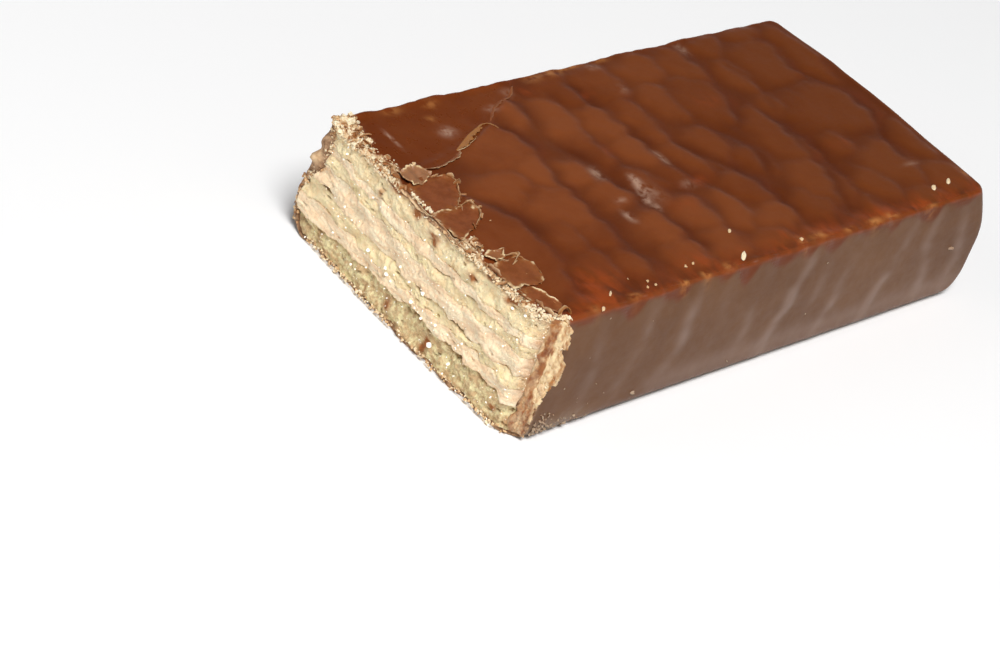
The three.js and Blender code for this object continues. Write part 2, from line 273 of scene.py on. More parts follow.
valleys = [  # deeper valleys across the bar, each a line from the near side on
    [(5.0, -13.5), (6.3, -9.0), (7.0, -5.5), (6.8, -2.5), (5.9, -1.3), (4.2, 1.8)],
    [(14.2, -13.5), (14.7, -9.0), (14.5, -5.5), (14.9, -2.5), (14.5, 0.6), (15.3, 3.3),
     (15.9, 6.4), (14.9, 10.2)],
    [(21.7, -13.0), (21.5, -9.0), (21.0, -5.5), (20.1, -1.5), (19.5, 2.0), (18.1, 6.8),
     (18.7, 10.0), (19.0, 13.5)],
    [(26.2, -13.0), (26.7, -7.8), (26.5, -5.2), (24.5, -1.3), (23.0, 1.4), (22.6, 4.5),
     (23.6, 8.3), (23.4, 12.0)],
    [(31.0, -8.6), (30.0, -5.5), (28.8, -2.5), (27.6, 0.6), (27.6, 4.5), (27.2, 8.3), (26.5, 13.0)],
    [(35.0, -13.8), (35.3, -11.0), (35.0, -7.0), (33.8, -3.2), (31.5, 0.0), (31.0, 2.5),
     (31.5, 6.0), (31.8, 8.3)],
    [(37.2, -5.5), (38.4, -2.5), (38.0, 0.6), (36.5, 2.5)],
    [(38.8, 0.6), (40.7, 2.9), (41.8, 5.2), (43.8, 9.8), (43.0, 13.7)],
    [(41.0, -13.5), (41.8, -11.0), (43.8, -7.0), (44.0, -4.0), (44.7, 0.0), (44.2, 3.3)],
    [(45.0, -14.0), (45.3, -11.0), (45.0, -7.0), (45.7, -4.0), (45.3, 0.0), (45.7, 2.5),
     (47.6, 6.4), (46.5, 10.2)],
    [(54.2, -8.6), (54.5, -5.5), (56.8, -1.3), (56.8, 3.3), (53.8, 8.0), (54.5, 11.0)],
]
scales = [  # middle of each scale, and its half-lengths along and across the bar
    (2.2, -5.5, 3.9, 7.2), (7.8, 1.9, 3.2, 2.7), (11.4, 6.8, 3.9, 3.5), (13.3, 2.8, 1.7, 2.4),
    (11.0, -2.6, 3.1, 3.0), (9.1, -6.0, 1.7, 2.3), (12.7, -7.0, 1.9, 1.8), (8.3, -10.9, 2.3, 2.6),
    (12.7, -11.5, 1.7, 2.3), (5.3, -14.0, 2.4, 1.5), (17.6, 10.9, 1.6, 2.0), (20.9, 8.6, 2.4, 3.3),
    (20.8, 3.8, 2.2, 2.5), (16.8, 0.9, 1.9, 2.0), (18.1, -2.7, 2.2, 1.7), (18.9, -8.2, 2.5, 2.4),
    (18.8, -12.4, 2.5, 1.9), (22.4, -3.0, 1.7, 2.9), (24.6, -7.8, 2.2, 2.4), (24.1, -12.3, 2.3, 2.2),
    (25.3, 7.0, 2.0, 2.6), (25.4, 2.1, 2.1, 2.4), (25.6, -2.2, 1.8, 1.9), (24.3, 12.6, 2.6, 2.4),
    (29.5, 11.9, 2.6, 2.8), (29.6, 5.6, 1.8, 3.4), (30.1, -0.6, 1.2, 2.6), (33.7, 0.3, 2.3, 2.8),
    (35.9, 12.6, 2.9, 2.3), (41.1, 12.1, 2.5, 3.0), (38.8, 6.5, 3.0, 4.1), (34.4, 7.4, 1.9, 3.0),
    (42.3, -0.9, 2.7, 4.3), (37.3, -3.4, 1.5, 2.6), (32.5, -6.0, 2.2, 2.7), (32.4, -10.7, 2.4, 1.8),
    (41.2, -8.2, 2.9, 3.3), (37.9, -10.7, 1.9, 2.4), (28.7, -8.6, 1.8, 3.0), (29.0, -13.6, 2.4, 1.4),
    (45.9, 8.4, 1.4, 2.8), (50.9, 9.6, 3.1, 3.8), (56.8, 9.7, 1.7, 4.6), (51.9, 0.7, 4.8, 3.8),
    (47.8, -4.1, 1.9, 1.6), (51.5, -8.6, 2.9, 3.4), (47.4, -10.6, 2.0, 2.5), (57.4, -6.3, 1.6, 3.4),
    (56.3, -12.6, 2.4, 2.3), (44.3, -13.3, 1.3, 1.7), (46.1, 3.4, 1.4, 1.7), (51.3, -13.9, 2.5, 1.5),
    (52.3, 14.6, 2.8, 1.3), (46.6, 13.9, 1.7, 2.0),
]
patch = {  # smooth patch at the far end of the cut
    "length": 21.5, "width": 9.45, "depth": 0.14, "lip": 0.13, "lipWidth": 0.045,
}


warpX, fineWarpX = makeWobble(5, puddles["warpLength"][0]), makeWobble(7, puddles["warpLength"][1])
warpY, fineWarpY = makeWobble(6, puddles["warpLength"][0]), makeWobble(8, puddles["warpLength"][1])


def valleyShape(x, y):
    # depth of the valleys across the bar, from 0 to 1: sharp towards the cut and gradual behind
    x = x + puddles["warp"][1] * fineWarpX(x, y)
    along = pointsAt(x, y, 0).reshape(-1, 3)
    deepest = np.zeros(x.shape)
    for number, line in enumerate(valleys):
        places, across = np.array(line).T
        away = x - np.interp(y, across, places)
        beyond, inside = puddles["valleyEnds"]
        reach = smoothStep(y, across[0] - beyond, across[0] + inside)
        reach = reach * smoothStep(-y, -across[-1] - beyond, inside - across[-1])
        middle, swing, length = puddles["valleyStrength"]
        strength = middle + swing * smoothNoise(along, length, 140 + number).reshape(x.shape)
        width = np.where(away < 0, puddles["sharp"], puddles["gradual"] * strength)
        deepest = np.maximum(deepest, np.clip(strength, 0.3, 1) * reach * bell(away, width))
    return deepest


def puddleShape(x, y):
    # the relief, how dark the valleys are painted (partly painted shade), the steps towards the whole end
    # and a shade for each scale
    valley = valleyShape(x, y)
    bendX, bendY = puddles["warp"]
    aside = bendX * warpY(x, y) + bendY * fineWarpY(x, y)
    x, y = x + bendX * warpX(x, y) + bendY * fineWarpX(x, y), y + aside
    nearest = np.full(x.shape, 9.0)
    second = nearest.copy()
    forward, tone = np.zeros(x.shape), np.zeros(x.shape)
    power = puddles["squareness"]
    draw = makeRandom(71)
    draw()
    for scaleX, scaleY, *size in scales:
        long, wide = np.array(size) * puddles["grow"]
        away = (np.abs((x - scaleX) / long) ** power + np.abs((y - scaleY) / wide) ** power) ** (1 / power)
        closer = away < nearest
        forward = np.where(closer, (x - scaleX) / long, forward)
        tone = np.where(closer, draw(), tone)
        second = np.where(closer, nearest, np.minimum(second, away))
        nearest = np.minimum(nearest, away)
    inner = 1 - lerp(puddles["behind"], puddles["ahead"], smoothStep(forward, -0.6, 0.5))
    refilled = 1 - puddles["refill"] * smoothStep(nearest, *puddles["open"])
    plateau = 1 - smoothStep(nearest, inner, 1 + puddles["outside"]) * refilled
    crease = 1 - smoothStep(second - nearest, 0, puddles["crease"])
    rise = plateau * (1 - puddles["tilt"] * (0.5 - 0.5 * np.clip(forward, -1, 1)))
    relief = puddles["scaleHeight"] * (rise - puddles["middle"]) - puddles["creaseDepth"] * crease
    relief = relief - puddles["valleyDepth"] * (valley - 0.25)
    dark = np.maximum(puddles["scaleShade"] * (1 - plateau), puddles["creaseShade"] * crease)
    step = bell(nearest - puddles["stepAt"], puddles["stepWidth"]) * smoothStep(forward, 0.2, 0.6)
    return relief, np.maximum(valley, dark), step, tone


def blurred(values, reach):
    # a soft blur over this many steps of a grid, along both of its sides
    steps = np.arange(-2 * reach, 2 * reach + 1)
    shares = np.exp(-((steps / reach) ** 2))
    for axis in (0, 1):
        margins = [(2 * reach, 2 * reach) if side == axis else (0, 0) for side in (0, 1)]
        padded = np.pad(values, margins, mode="edge")
        size = values.shape[axis]
        moved = (s * np.take(padded, range(i, i + size), axis) for i, s in enumerate(shares))
        values = sum(moved) / shares.sum()
    return values


class HeightMap:
    # the puddles worked out once on a grid of places, and read between them
    pitch = 0.2
    low = np.array([-4.0, -18.0])

    def __init__(self):
        along, across = np.arange(self.low[0], 64, self.pitch), np.arange(self.low[1], 18, self.pitch)
        x, y = np.meshgrid(along, across, indexing="ij")
        relief, valley, step, tone = puddleShape(x, y)
        self.relief = blurred(relief, 2)
        self.valley = blurred(valley, 2)
        self.step = blurred(step, 2)
        self.tone = blurred(tone, 4)

    def read(self, values, x, y):
        a = np.clip((x - self.low[0]) / self.pitch, 0, values.shape[0] - 1.001)
        b = np.clip((y - self.low[1]) / self.pitch, 0, values.shape[1] - 1.001)
        i, j = a.astype(int), b.astype(int)
        a, b = a - i, b - j
        nearer, further = (lerp(values[i, j + k], values[i + 1, j + k], a) for k in (0, 1))
        return lerp(nearer, further, b)


heightMap = HeightMap()


def patchEdge(x, y):
    # above 0 inside the smooth patch, as a share of its width
    return 1 - (x / patch["length"]) ** 2 - (halfWidth - y) / patch["width"]


def topRelief(x, y):
    cellRelief = heightMap.read(heightMap.relief, x, y)
    edge = patchEdge(x, y)
    inside = smoothStep(edge, -patch["lipWidth"], patch["lipWidth"])
    lip = patch["lip"] * bell(edge / patch["lipWidth"] / 1.5 - 0.6, 1)
    sheet = pointsAt(x, y, 0)
    ripple = uneven(sheet, puddles["ripple"], 31) + uneven(sheet, puddles["grit"], 35, 1)
    fade = smoothStep(halfWidth - np.abs(y), 0, puddles["rimFade"])
    ridges = uneven(sheet / (1, 2.6, 1), puddles["ridges"], 33, 2) * smoothStep(-y, 11.0, 14.6)
    relief = (1 - inside) * (cellRelief + ridges) - inside * patch["depth"] + lip + ripple
    return fade * np.maximum(relief, puddles["deepest"])


def topAt(x, y):
    return bar["height"] + topRelief(np.asarray(x, float), np.asarray(y, float))


# Soft drips down the sides

drips = {
    "width": 0.85, "height": 0.07, "pitch": 6.4, "farHeight": 0.11, "farSway": 1.3,
    "hiddenShare": 0.6,  # of these heights, on the sides that the eye didn't see
    "strength": 0.75, "swing": (1.1, 2.4), "weakest": 0.12, "strongest": 1.5,  # they come and go
}
nearStreaks = [  # soft ridges down the near side: strength, and places (x, z) from the underside up
    (0.35, [(5.6, 2.5), (6.3, 7.0), (6.0, 11.0)]),
    (0.6, [(10.2, 3.5), (11.5, 6.0), (12.0, 9.0), (12.3, 12.5)]),
    (0.9, [(15.5, 2.5), (16.8, 4.5), (17.7, 6.0), (17.4, 9.0), (18.0, 12.0)]),
    (0.3, [(20.8, 3.0), (22.3, 7.0), (22.0, 10.0)]),
    (0.45, [(25.8, 1.5), (26.8, 6.0), (26.3, 8.5), (28.0, 11.5)]),
    (1.0, [(30.2, 2.5), (31.0, 5.0), (32.1, 6.5), (32.0, 9.0), (33.4, 11.0)]),
    (0.3, [(35.0, 3.0), (35.6, 6.0), (36.2, 10.5)]),
    (1.0, [(38.0, 1.5), (38.6, 4.0), (39.3, 6.0), (39.0, 8.0), (39.6, 9.8), (41.6, 11.5)]),
    (0.8, [(45.3, 2.0), (45.8, 4.5), (46.6, 6.5), (47.5, 9.0), (48.6, 12.0)]),
    (0.7, [(53.4, 2.0), (53.0, 5.0), (52.4, 7.0), (51.5, 9.0), (52.2, 11.5)]),
    (0.5, [(57.5, 3.0), (57.8, 6.0), (56.8, 9.0), (56.4, 11.5)]),
]
rimRuns = [  # x, how much further down the near rim the upper face's colour runs there, and half the length
    (3.0, 0.6, 1.6), (9.4, 1.4, 1.3), (14.8, 1.0, 1.8), (21.2, 0.7, 1.0), (24.3, 1.5, 1.2),
    (28.9, 1.1, 1.5), (32.8, 0.7, 0.9), (36.4, 0.9, 1.2), (40.5, 0.4, 1.0), (45.0, 0.8, 0.9),
    (50.9, 1.1, 1.5), (56.0, 0.6, 1.4),
]
rim = {  # of the upper face
    "reach": 0.35, "elsewhere": 0.5, "swing": 0.9, "uneven": (0.45, 1.6),  # how far its colour runs
    "sharpness": 2.6,  # of the places where it runs further
    "hollow": 0.06,  # depth of the hollows there, as a share of that reach
    "worn": 0.3, "wornMore": 0.3, "wornWidth": 0.5,  # the thin near rim is worn down
    "wave": (0.19, 2.8), "waveDown": 2.2, "waveIn": 1.8,  # slow rise and fall, and its reach
}
dripField = makeWobble(23, 2 * drips["pitch"], 3)


def makeStreaks(count, length, seed):
    # streaks like those of the near side, for the sides that the eye didn't see
    draw = makeRandom(seed)
    draw()
    streaks = []
    for i in range(count):
        middle = length * (i + 0.2 + 0.6 * draw()) / count
        heights = [1.0 + 2 * draw(), 5.0, 8.0, 10.5 + 1.5 * draw()]
        strength = 0.25 + 0.75 * draw()
        streaks.append((strength, [(middle + 2.6 * (draw() - 0.5), height) for height in heights]))
    return streaks


otherStreaks = makeStreaks(14, 76, 19)


def streakShape(along, z, streaks):
    total = 0
    for strength, line in streaks:
        places, heights = np.array(line).T
        away = (along - np.interp(z, heights, places)) / drips["width"]
        total = total + strength * bell(away, 1)
    return total * np.sin(math.pi * np.clip(z / bar["height"], 0, 1)) ** 0.7


def nearDrips(x, z):
    return drips["height"] * streakShape(x, z, nearStreaks) * streakStrength(x, z, 171)


def streakStrength(along, z, seed):
    # streaks come and go on their way down
    place = pointsAt(along, z, 0)
    strength = drips["strength"] + uneven(place, drips["swing"], seed, 2)
    return np.clip(strength, drips["weakest"], drips["strongest"])


def nearRuns(x):
    total = 0
    for place, depth, length in rimRuns:
        total = total + depth * np.exp(-(np.abs((x - place) / length) ** rim["sharpness"]))
    return total


def rimReach(x, y):
    # how far below the rim the upper face's colour runs
    place = pointsAt(x, y, 0)
    others = rim["elsewhere"] + rim["swing"] * np.maximum(0, roughNoise(place, 3.0, 95))
    return np.where(y < -12, rim["reach"] + nearRuns(x), others) + uneven(place, rim["uneven"], 96)


def rimHollows(x, z):
    # shallow hollows of the near side where that colour runs far down
    reach = nearRuns(x)
    return rim["hollow"] * reach * bell(bar["height"] - z - 0.3 - 0.5 * reach, 0.4 * reach + 0.25)


def otherDrips(along, z):
    level = np.clip(z / bar["height"], 0, 1)
    swayed = along + drips["farSway"] * np.sin(2 * math.pi * level)
    wave = np.sin(2 * math.pi * swayed / drips["pitch"] + dripField(along, 0))
    waves = drips["hiddenShare"] * drips["farHeight"] * wave * np.sin(math.pi * level)
    return waves + drips["hiddenShare"] * drips["height"] * streakShape(along, z, otherStreaks)


# Meshes from arrays

def makePiece(name, points, faces, finish, replaced=(), fields=None, smooth=True):
    points = np.clip(points, boxLow, boxHigh)  # nothing stands outside the solids' box
    mesh = bpy.data.meshes.new(name)
    mesh.from_pydata(toFrame(points).tolist(), [], [list(map(int, face)) for face in faces])
    for field, values in (fields or {}).items():
        made = mesh.attributes.new(field, "FLOAT", "POINT")
        made.data.foreach_set("value", np.asarray(values, np.float32))
    mesh.materials.append(finish.material)
    shape = bmesh.new()
    shape.from_mesh(mesh)
    bmesh.ops.recalc_face_normals(shape, faces=shape.faces)
    shape.to_mesh(mesh)
    shape.free()
    if smooth:
        mesh.shade_smooth()
    piece = bpy.data.objects.new(name, mesh)
    bpy.context.scene.collection.objects.link(piece)
    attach(piece, "root")
    if replaced:
        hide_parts(*replaced)
    print(f"{name}: {len(points)} points, {sum(len(f) - 2 for f in faces)} triangles")


def quadsOf(grid):
    return np.stack([grid[:-1, :-1], grid[1:, :-1], grid[1:, 1:], grid[:-1, 1:]], -1).reshape(-1, 4)


def ringOf(grid):
    # once round the edge of a sheet of point numbers
    return np.concatenate([grid[:-1, 0], grid[-1, :-1], grid[:0:-1, -1], grid[0, :0:-1]])


def latticeSkin(counts, ends):
    # the skin of a box lattice: each point's steps along x, y and z, and the sheets of point numbers.
    # ends says whether its start and its end along x are filled
    shape = [c + 1 for c in counts]
    steps = np.indices(shape).reshape(3, -1).T
    onSkin = ((steps[:, 1:] == 0) | (steps[:, 1:] == np.array(counts[1:]))).any(-1)
    onSkin |= (steps[:, 0] == 0) & ends[0]
    onSkin |= (steps[:, 0] == counts[0]) & ends[1]
    grid = np.full(len(steps), -1)
    grid[onSkin] = np.arange(onSkin.sum())
    grid = grid.reshape(shape)
    sheets = {
        "bottom": grid[:, :, 0], "top": grid[:, :, -1], "near": grid[:, 0, :], "far": grid[:, -1, :],
        "start": grid[0], "end": grid[-1],
    }
    return steps[onSkin], sheets


# Materials: arithmetic on a wire adds Math nodes, and every other node comes from Finish.node

class Wire:
    def __init__(self, finish, socket):
        self.finish = finish
        self.socket = socket

    def maths(self, operation, *values):
        return self.finish.node("ShaderNodeMath", {"operation": operation}, dict(enumerate(values)))

    def __add__(self, other):
        return self.maths("ADD", self, other)

    def __radd__(self, other):
        return self.maths("ADD", other, self)

    def __sub__(self, other):
        return self.maths("SUBTRACT", self, other)

    def __rsub__(self, other):
        return self.maths("SUBTRACT", other, self)

    def __mul__(self, other):
        return self.maths("MULTIPLY", self, other)

    def __rmul__(self, other):
        return self.maths("MULTIPLY", other, self)

    def larger(self, other):
        return self.maths("MAXIMUM", self, other)


def paint(red, green, blue):
    # a colour as seen on a screen, 0 to 255, as the linear colour that shaders take
    shares = [c / 255 for c in (red, green, blue)]
    return [s / 12.92 if s <= 0.04045 else ((s + 0.055) / 1.055) ** 2.4 for s in shares] + [1.0]


class Finish:
    def __init__(self, name, look):
        self.look = look
        self.material = bpy.data.materials.new(name)
        self.material.use_nodes = True
        self.useTree(self.material.node_tree)
        inputs = {0: self.node("ShaderNodeTexCoord", output="Object"), "Scale": 1000.0}
        self.place = self.node("ShaderNodeVectorMath", {"operation": "SCALE"}, inputs)

    def useTree(self, tree):
        self.tree = tree
        self.tree.nodes.clear()

    def node(self, kind, settings=None, inputs=None, output=0):
        made = self.tree.nodes.new(kind)
        for name, value in (settings or {}).items():
            setattr(made, name, value)
        for key, value in (inputs or {}).items():
            if isinstance(value, Wire):
                self.tree.links.new(value.socket, made.inputs[key])
            else:
                made.inputs[key].default_value = value
        return Wire(self, made.outputs[output] if made.outputs else None)

    def noise(self, size, detail=3.0, roughness=0.5, distortion=0.0, stretch=None):
        place = self.place
        if stretch:
            place = self.node("ShaderNodeVectorMath", {"operation": "MULTIPLY"}, {0: place, 1: stretch})
        inputs = {"Vector": place, "Scale": 1 / size, "Detail": detail, "Roughness": roughness}
        return self.node("ShaderNodeTexNoise", None, {**inputs, "Distortion": distortion})

    def field(self, name):
        return self.node("ShaderNodeAttribute", {"attribute_name": name}, output="Fac")

    def step(self, value, low, high):
        inputs = {"Value": value, "From Min": low, "From Max": high}
        return self.node("ShaderNodeMapRange", {"interpolation_type": "SMOOTHSTEP"}, inputs)

    def mix(self, share, first, second):
        return self.node("ShaderNodeMix", {"data_type": "RGBA"}, {0: share, 6: first, 7: second}, output=2)

    def over(self, colour, share, name):
        # one of the look's colours laid over another; a fourth value of it is the most that it covers
        shade = self.look[name]
        if len(shade) > 3:
            share = share * shade[3]
        return self.mix(share, colour, paint(*shade[:3]))

    def between(self, share, first, second):
        return self.mix(share, paint(*self.look[first]), paint(*self.look[second]))

    def bump(self, height, distance, strength):
        # distance in millimetres
        inputs = {"Height": height, "Distance": distance / 1000, "Strength": strength}
        return self.node("ShaderNodeBump", None, inputs)

    def surface(self, sockets):
        shader = self.node("ShaderNodeBsdfPrincipled", None, sockets)
        self.node("ShaderNodeOutputMaterial", None, {"Surface": shader})

    def food(self, colour, roughness, height):
        # a bumpy surface that lets a little light in, as the look says
        look = self.look
        self.surface({
            "Base Color": colour, "Roughness": roughness, "Normal": self.bump(height, *look["bump"]),
            "Specular IOR Level": look["specular"], "Subsurface Weight": look["scatter"],
            "Subsurface Scale": look["scatterScale"], "Subsurface Radius": look["scatterRadius"],
        })


class Sky(Finish):
    # dim overhead and bright just above the floor, like a white backdrop
    def __init__(self, tree):
        self.useTree(tree)

    def gradient(self):
        direction = self.node("ShaderNodeTexCoord", output="Generated")
        height = self.node("ShaderNodeSeparateXYZ", None, {0: direction}, output=2)
        aloft = self.step(height, *stage["backdropTop"])
        strength = stage["backdrop"] + aloft * (stage["overhead"] - stage["backdrop"])
        inputs = {"Color": paint(*stage["skyColour"]), "Strength": strength}
        light = self.node("ShaderNodeBackground", None, inputs)
        self.node("ShaderNodeOutputWorld", None, {"Surface": light})


# Chocolate

chocolateLook = {  # colours as seen on a screen, 0 to 255; a fourth value is the most that one covers
    # painted shade: the valley colour in part, and the far colour towards the whole end
    "light": (130, 68, 32), "dark": (112, 53, 19), "far": (106, 52, 17, 0.8), "valley": (76, 27, 1, 0.85),
    "step": (100, 40, 6, 0.6), "thin": (150, 66, 24), "golden": (186, 122, 66),
    "scuff": (186, 152, 130, 0.8),
    "patch": (103, 44, 10), "patchCover": 0.85, "broken": (194, 156, 120), "brokenDark": (112, 76, 50),
    # the side colours are paler and greyer than the upper face's, partly a painted reflection; the streak
    # colour is painted sheen
    "side": (109, 71, 39), "sideDark": (97, 60, 30), "sheenStreak": (142, 118, 105, 0.6),
    "foot": (142, 122, 104), "smear": (122, 66, 26), "smearLight": (176, 118, 66),
    "dust": (232, 200, 158), "dustDark": (196, 150, 106),
    "roughness": 0.38, "patchRoughness": 0.26, "crumbRoughness": 0.8,
    "mattMore": 0.1, "scuffMore": 0.2, "stepMore": 0.3, "valleyMore": 0.1,  # added to the roughness
    "bump": (0.07, 0.5),  # height in millimetres and strength
    "leanBump": 8.5, "footBump": 3.0, "wideBump": 0.6,
    "specular": 0.27, "scatter": 0.06, "scatterScale": 0.0008, "scatterRadius": (1.0, 0.45, 0.2),
}


def chocolateFinish():
    look = chocolateLook
    finish = Finish("milkChocolate", look)
    valley = finish.field("valley")
    smoothArea = finish.field("patch")
    side = finish.field("side")
    step = finish.field("step")
    broken = finish.field("broken")
    dust = finish.field("dust")
    fine = finish.noise(0.5, 5, 0.65)
    broad = finish.step(0.5 * finish.noise(4.0, 4, 0.6, 0.6) + 0.5 * finish.field("tone"), 0.3, 0.7)
    colour = finish.between(broad, "dark", "light")
    # painted shade: the upper face is painted darker towards the whole end, where it catches less light
    colour = finish.over(colour, finish.field("far"), "far")
    # the valleys are painted darker: partly their own redder colour, partly painted shade
    colour = finish.over(colour, valley, "valley")
    colour = finish.over(colour, step, "step")

    # the sides, whose paler colour is partly a painted reflection of the floor and whose streaks are
    # painted sheen, and how raggedly the upper face's colour ends there
    mottled = finish.step(finish.noise(1.3, 3, 0.5, 0.4, (1.0, 0.5, 1.0)), 0.32, 0.72)
    reach = finish.step(side + 0.7 * (finish.noise(0.9, 4, 0.6) - 0.5), 0.1, 0.95)
    sideColourAndSheen = finish.between(broad, "sideDark", "side")
    # painted sheen: the drips down the sides are painted lighter
    sideColourAndSheen = finish.over(sideColourAndSheen, finish.field("sheenStreak"), "sheenStreak")
    sideColourAndSheen = finish.over(sideColourAndSheen, finish.field("foot") * (0.3 + 0.6 * fine), "foot")
    colour = finish.mix(reach, colour, sideColourAndSheen)
    patchColour = finish.between(broad, "patch", "dark")
    colour = finish.mix(smoothArea * look["patchCover"], colour, patchColour)
    colour = finish.over(colour, finish.field("thin") * mottled, "thin")
    bits = finish.field("golden") * finish.step(finish.noise(0.9, 3, 0.5), 0.34, 0.6)
    colour = finish.over(colour, bits, "golden")

    # broken edges, crumbs ground into the chocolate, the smear on the cut and rubbed places
    crumbly = finish.between(finish.step(fine, 0.35, 0.7), "brokenDark", "broken")
    colour = finish.mix(broken, colour, crumbly)
    powder = finish.step(finish.noise(0.4, 4, 0.7), 0.32, 0.56)
    colour = finish.mix(dust, colour, finish.between(powder, "dustDark", "dust"))
    streaks = finish.noise(0.35, 5, 0.65, 0.2, (1.0, 1.0, 0.35))
    smeared = finish.between(finish.step(streaks, 0.42, 0.62), "smear", "smearLight")
    smear = finish.step(finish.field("smear") + 0.9 * (streaks - 0.5), 0.3, 0.75)
    colour = finish.mix(smear, colour, smeared)
    marks = finish.field("scuff") * finish.step(finish.noise(0.9, 4, 0.6, 0.4), 0.3, 0.62)
    colour = finish.over(colour, marks, "scuff")

    matt = finish.step(finish.noise(1.1, 4, 0.6), 0.3, 0.7)
    roughness = look["roughness"] + look["mattMore"] * matt + look["scuffMore"] * marks
    roughness = roughness + look["stepMore"] * step + look["valleyMore"] * valley
    roughness = roughness + smoothArea * (look["patchRoughness"] - look["roughness"])
    roughness = roughness.larger(broken.larger(dust) * look["crumbRoughness"])
    relief = fine * (0.25 + broken + dust) + finish.noise(2.0, 3) * look["wideBump"]
    relief = relief * (1 - smoothArea) + look["leanBump"] * finish.field("lean")
    relief = relief + finish.field("foot") * fine * look["footBump"]
    finish.food(colour, roughness, relief)
    return finish


coatMesh = {
    "along": ((3, 0.13), (22, 0.23), (61, 0.35)),  # end of each stretch and the step in it
    "across": ((1.2, 0.15), (19.5, 0.31), (30.1, 0.23), (31.3, 0.15)),
    "up": ((2.2, 0.3), (11.65, 0.36)),
    "lowerArc": 6, "rimArc": 3, "brim": 9,
    "cavity": [0.25, 0.8, 1.8, 3.0, 4.5, 7.0],  # depths behind the cut of the rings round the layers
}
coatRelief = {  # pairs are the height and the length of an unevenness
    "side": (0.02, 1.8), "foot": (0.26, 0.9), "footEnds": (5.0, 10.0), "footTop": (1.6, 2.9),
    "brim": (0.14, 0.9), "brimLumps": (0.3, 1.1), "brimGrit": (0.1, 0.5), "floorBack": 0.35, "groove": 0.1,
    "crumbledDepth": 0.1, "crumbled": (0.2, 0.6), "crumbledPits": (0.25, 0.45),
}
knob = (15.95, 8.9, 0.6, 0.7, 0.9)  # small lump on the far side of the brim: y, z, half-lengths and height
smear = {  # of brown chocolate down the cut: y at its foot and top, width, and where it fades in and out
    "foot": -15.1, "top": -15.35, "width": 0.42, "from": (3.6, 5.4), "upTo": (11.8, 12.9),
}
warmth = {  # how strongly and how far in the upper face is redder by its rims and by the cut
    "nearRim": (0.4, 0.8), "nearBand": (0.35, 2.4), "farRim": (0.3, 0.6), "cut": (0.5, 1.2),
}
scuffs = [  # whitish rubbed places: x, y, half-lengths along and across, strength
    (22.1, -1.6, 0.4, 0.7, 1.0), (21.9, -2.9, 0.45, 0.9, 1.0), (21.3, -4.3, 0.4, 0.8, 0.95),
    (21.5, -5.7, 0.3, 0.5, 0.6), (22.6, -3.9, 0.8, 1.2, 0.35), (19.1, 0.4, 0.7, 0.9, 0.75),
    (27.6, 0.2, 0.35, 1.2, 0.7), (17.5, -5.9, 0.4, 0.9, 0.8), (18.4, -3.8, 0.7, 0.3, 0.5),
    (9.0, 10.6, 0.8, 0.7, 0.95), (2.9, 11.4, 0.17, 1.2, 1.0), (27.2, -4.0, 0.8, 0.5, 0.35),
    (43.7, 14.1, 0.5, 1.0, 0.5), (54.0, -9.6, 1.2, 0.25, 0.4), (31.7, 10.4, 0.7, 0.6, 0.3),
    (31.4, 14.4, 0.8, 0.5, 0.5), (16.0, 12.2, 0.8, 0.5, 0.5), (19.3, 13.9, 0.6, 0.6, 0.4),
    (0.9, 14.0, 0.5, 0.5, 0.3),
]
goldenSpots = [  # thin chocolate that the wafer shines through: x, y, half-lengths, strength
    (5.8, 15.0, 1.0, 0.5, 0.5), (8.7, 12.7, 0.6, 0.5, 0.45), (10.2, 14.7, 0.8, 0.5, 0.5),
    (23.6, 14.9, 1.0, 0.6, 0.5), (26.2, 15.1, 1.2, 0.6, 0.7), (28.8, 15.4, 1.6, 0.4, 0.7),
    (33.2, 15.3, 1.0, 0.4, 0.4), (4.6, -15.3, 0.5, 0.4, 0.4), (9.6, -15.2, 0.6, 0.4, 0.7),
    (15.9, -15.4, 0.6, 0.3, 0.8), (18.8, -15.2, 0.5, 0.4, 0.9), (21.9, -15.1, 0.6, 0.4, 0.9),
    (32.1, -15.0, 0.4, 0.6, 0.9), (34.6, -14.9, 1.1, 0.5, 0.7), (38.4, -15.3, 0.6, 0.3, 0.7),
    (42.4, -15.2, 0.9, 0.4, 0.9), (44.8, -15.2, 0.8, 0.35, 0.9), (50.6, -15.5, 0.8, 0.25, 0.6),
    (58.7, -12.6, 0.3, 0.8, 0.5),
]
warmSpots = [  # redder places of the upper face
    (7.4, -12.6, 2.4, 1.8, 0.9), (5.0, -14.4, 1.6, 0.9, 0.5), (21.2, 13.2, 0.9, 0.8, 0.5),
    (27.4, 10.9, 0.8, 0.5, 0.5), (22.6, 2.9, 0.9, 0.8, 0.4), (29.0, -3.8, 1.2, 0.8, 0.6),
    (24.6, -6.6, 1.6, 1.0, 0.35), (19.0, -13.6, 1.6, 1.2, 0.5), (31.5, -13.9, 1.8, 1.0, 0.6),
    (36.0, -14.2, 1.4, 0.8, 0.5), (39.5, 6.0, 1.6, 1.2, 0.35), (49.0, -4.2, 1.6, 0.9, 0.35),
    (17.4, 12.0, 1.4, 0.8, 0.35), (43.5, -14.4, 2.6, 0.8, 0.5), (50.0, -14.8, 2.5, 0.6, 0.5),
]


def spotted(x, y, spots):
    total = 0
    for middleX, middleY, long, wide, strength in spots:
        total = total + strength * np.exp(-(((x - middleX) / long) ** 2 + ((y - middleY) / wide) ** 2))
    return np.clip(total, 0, 1)


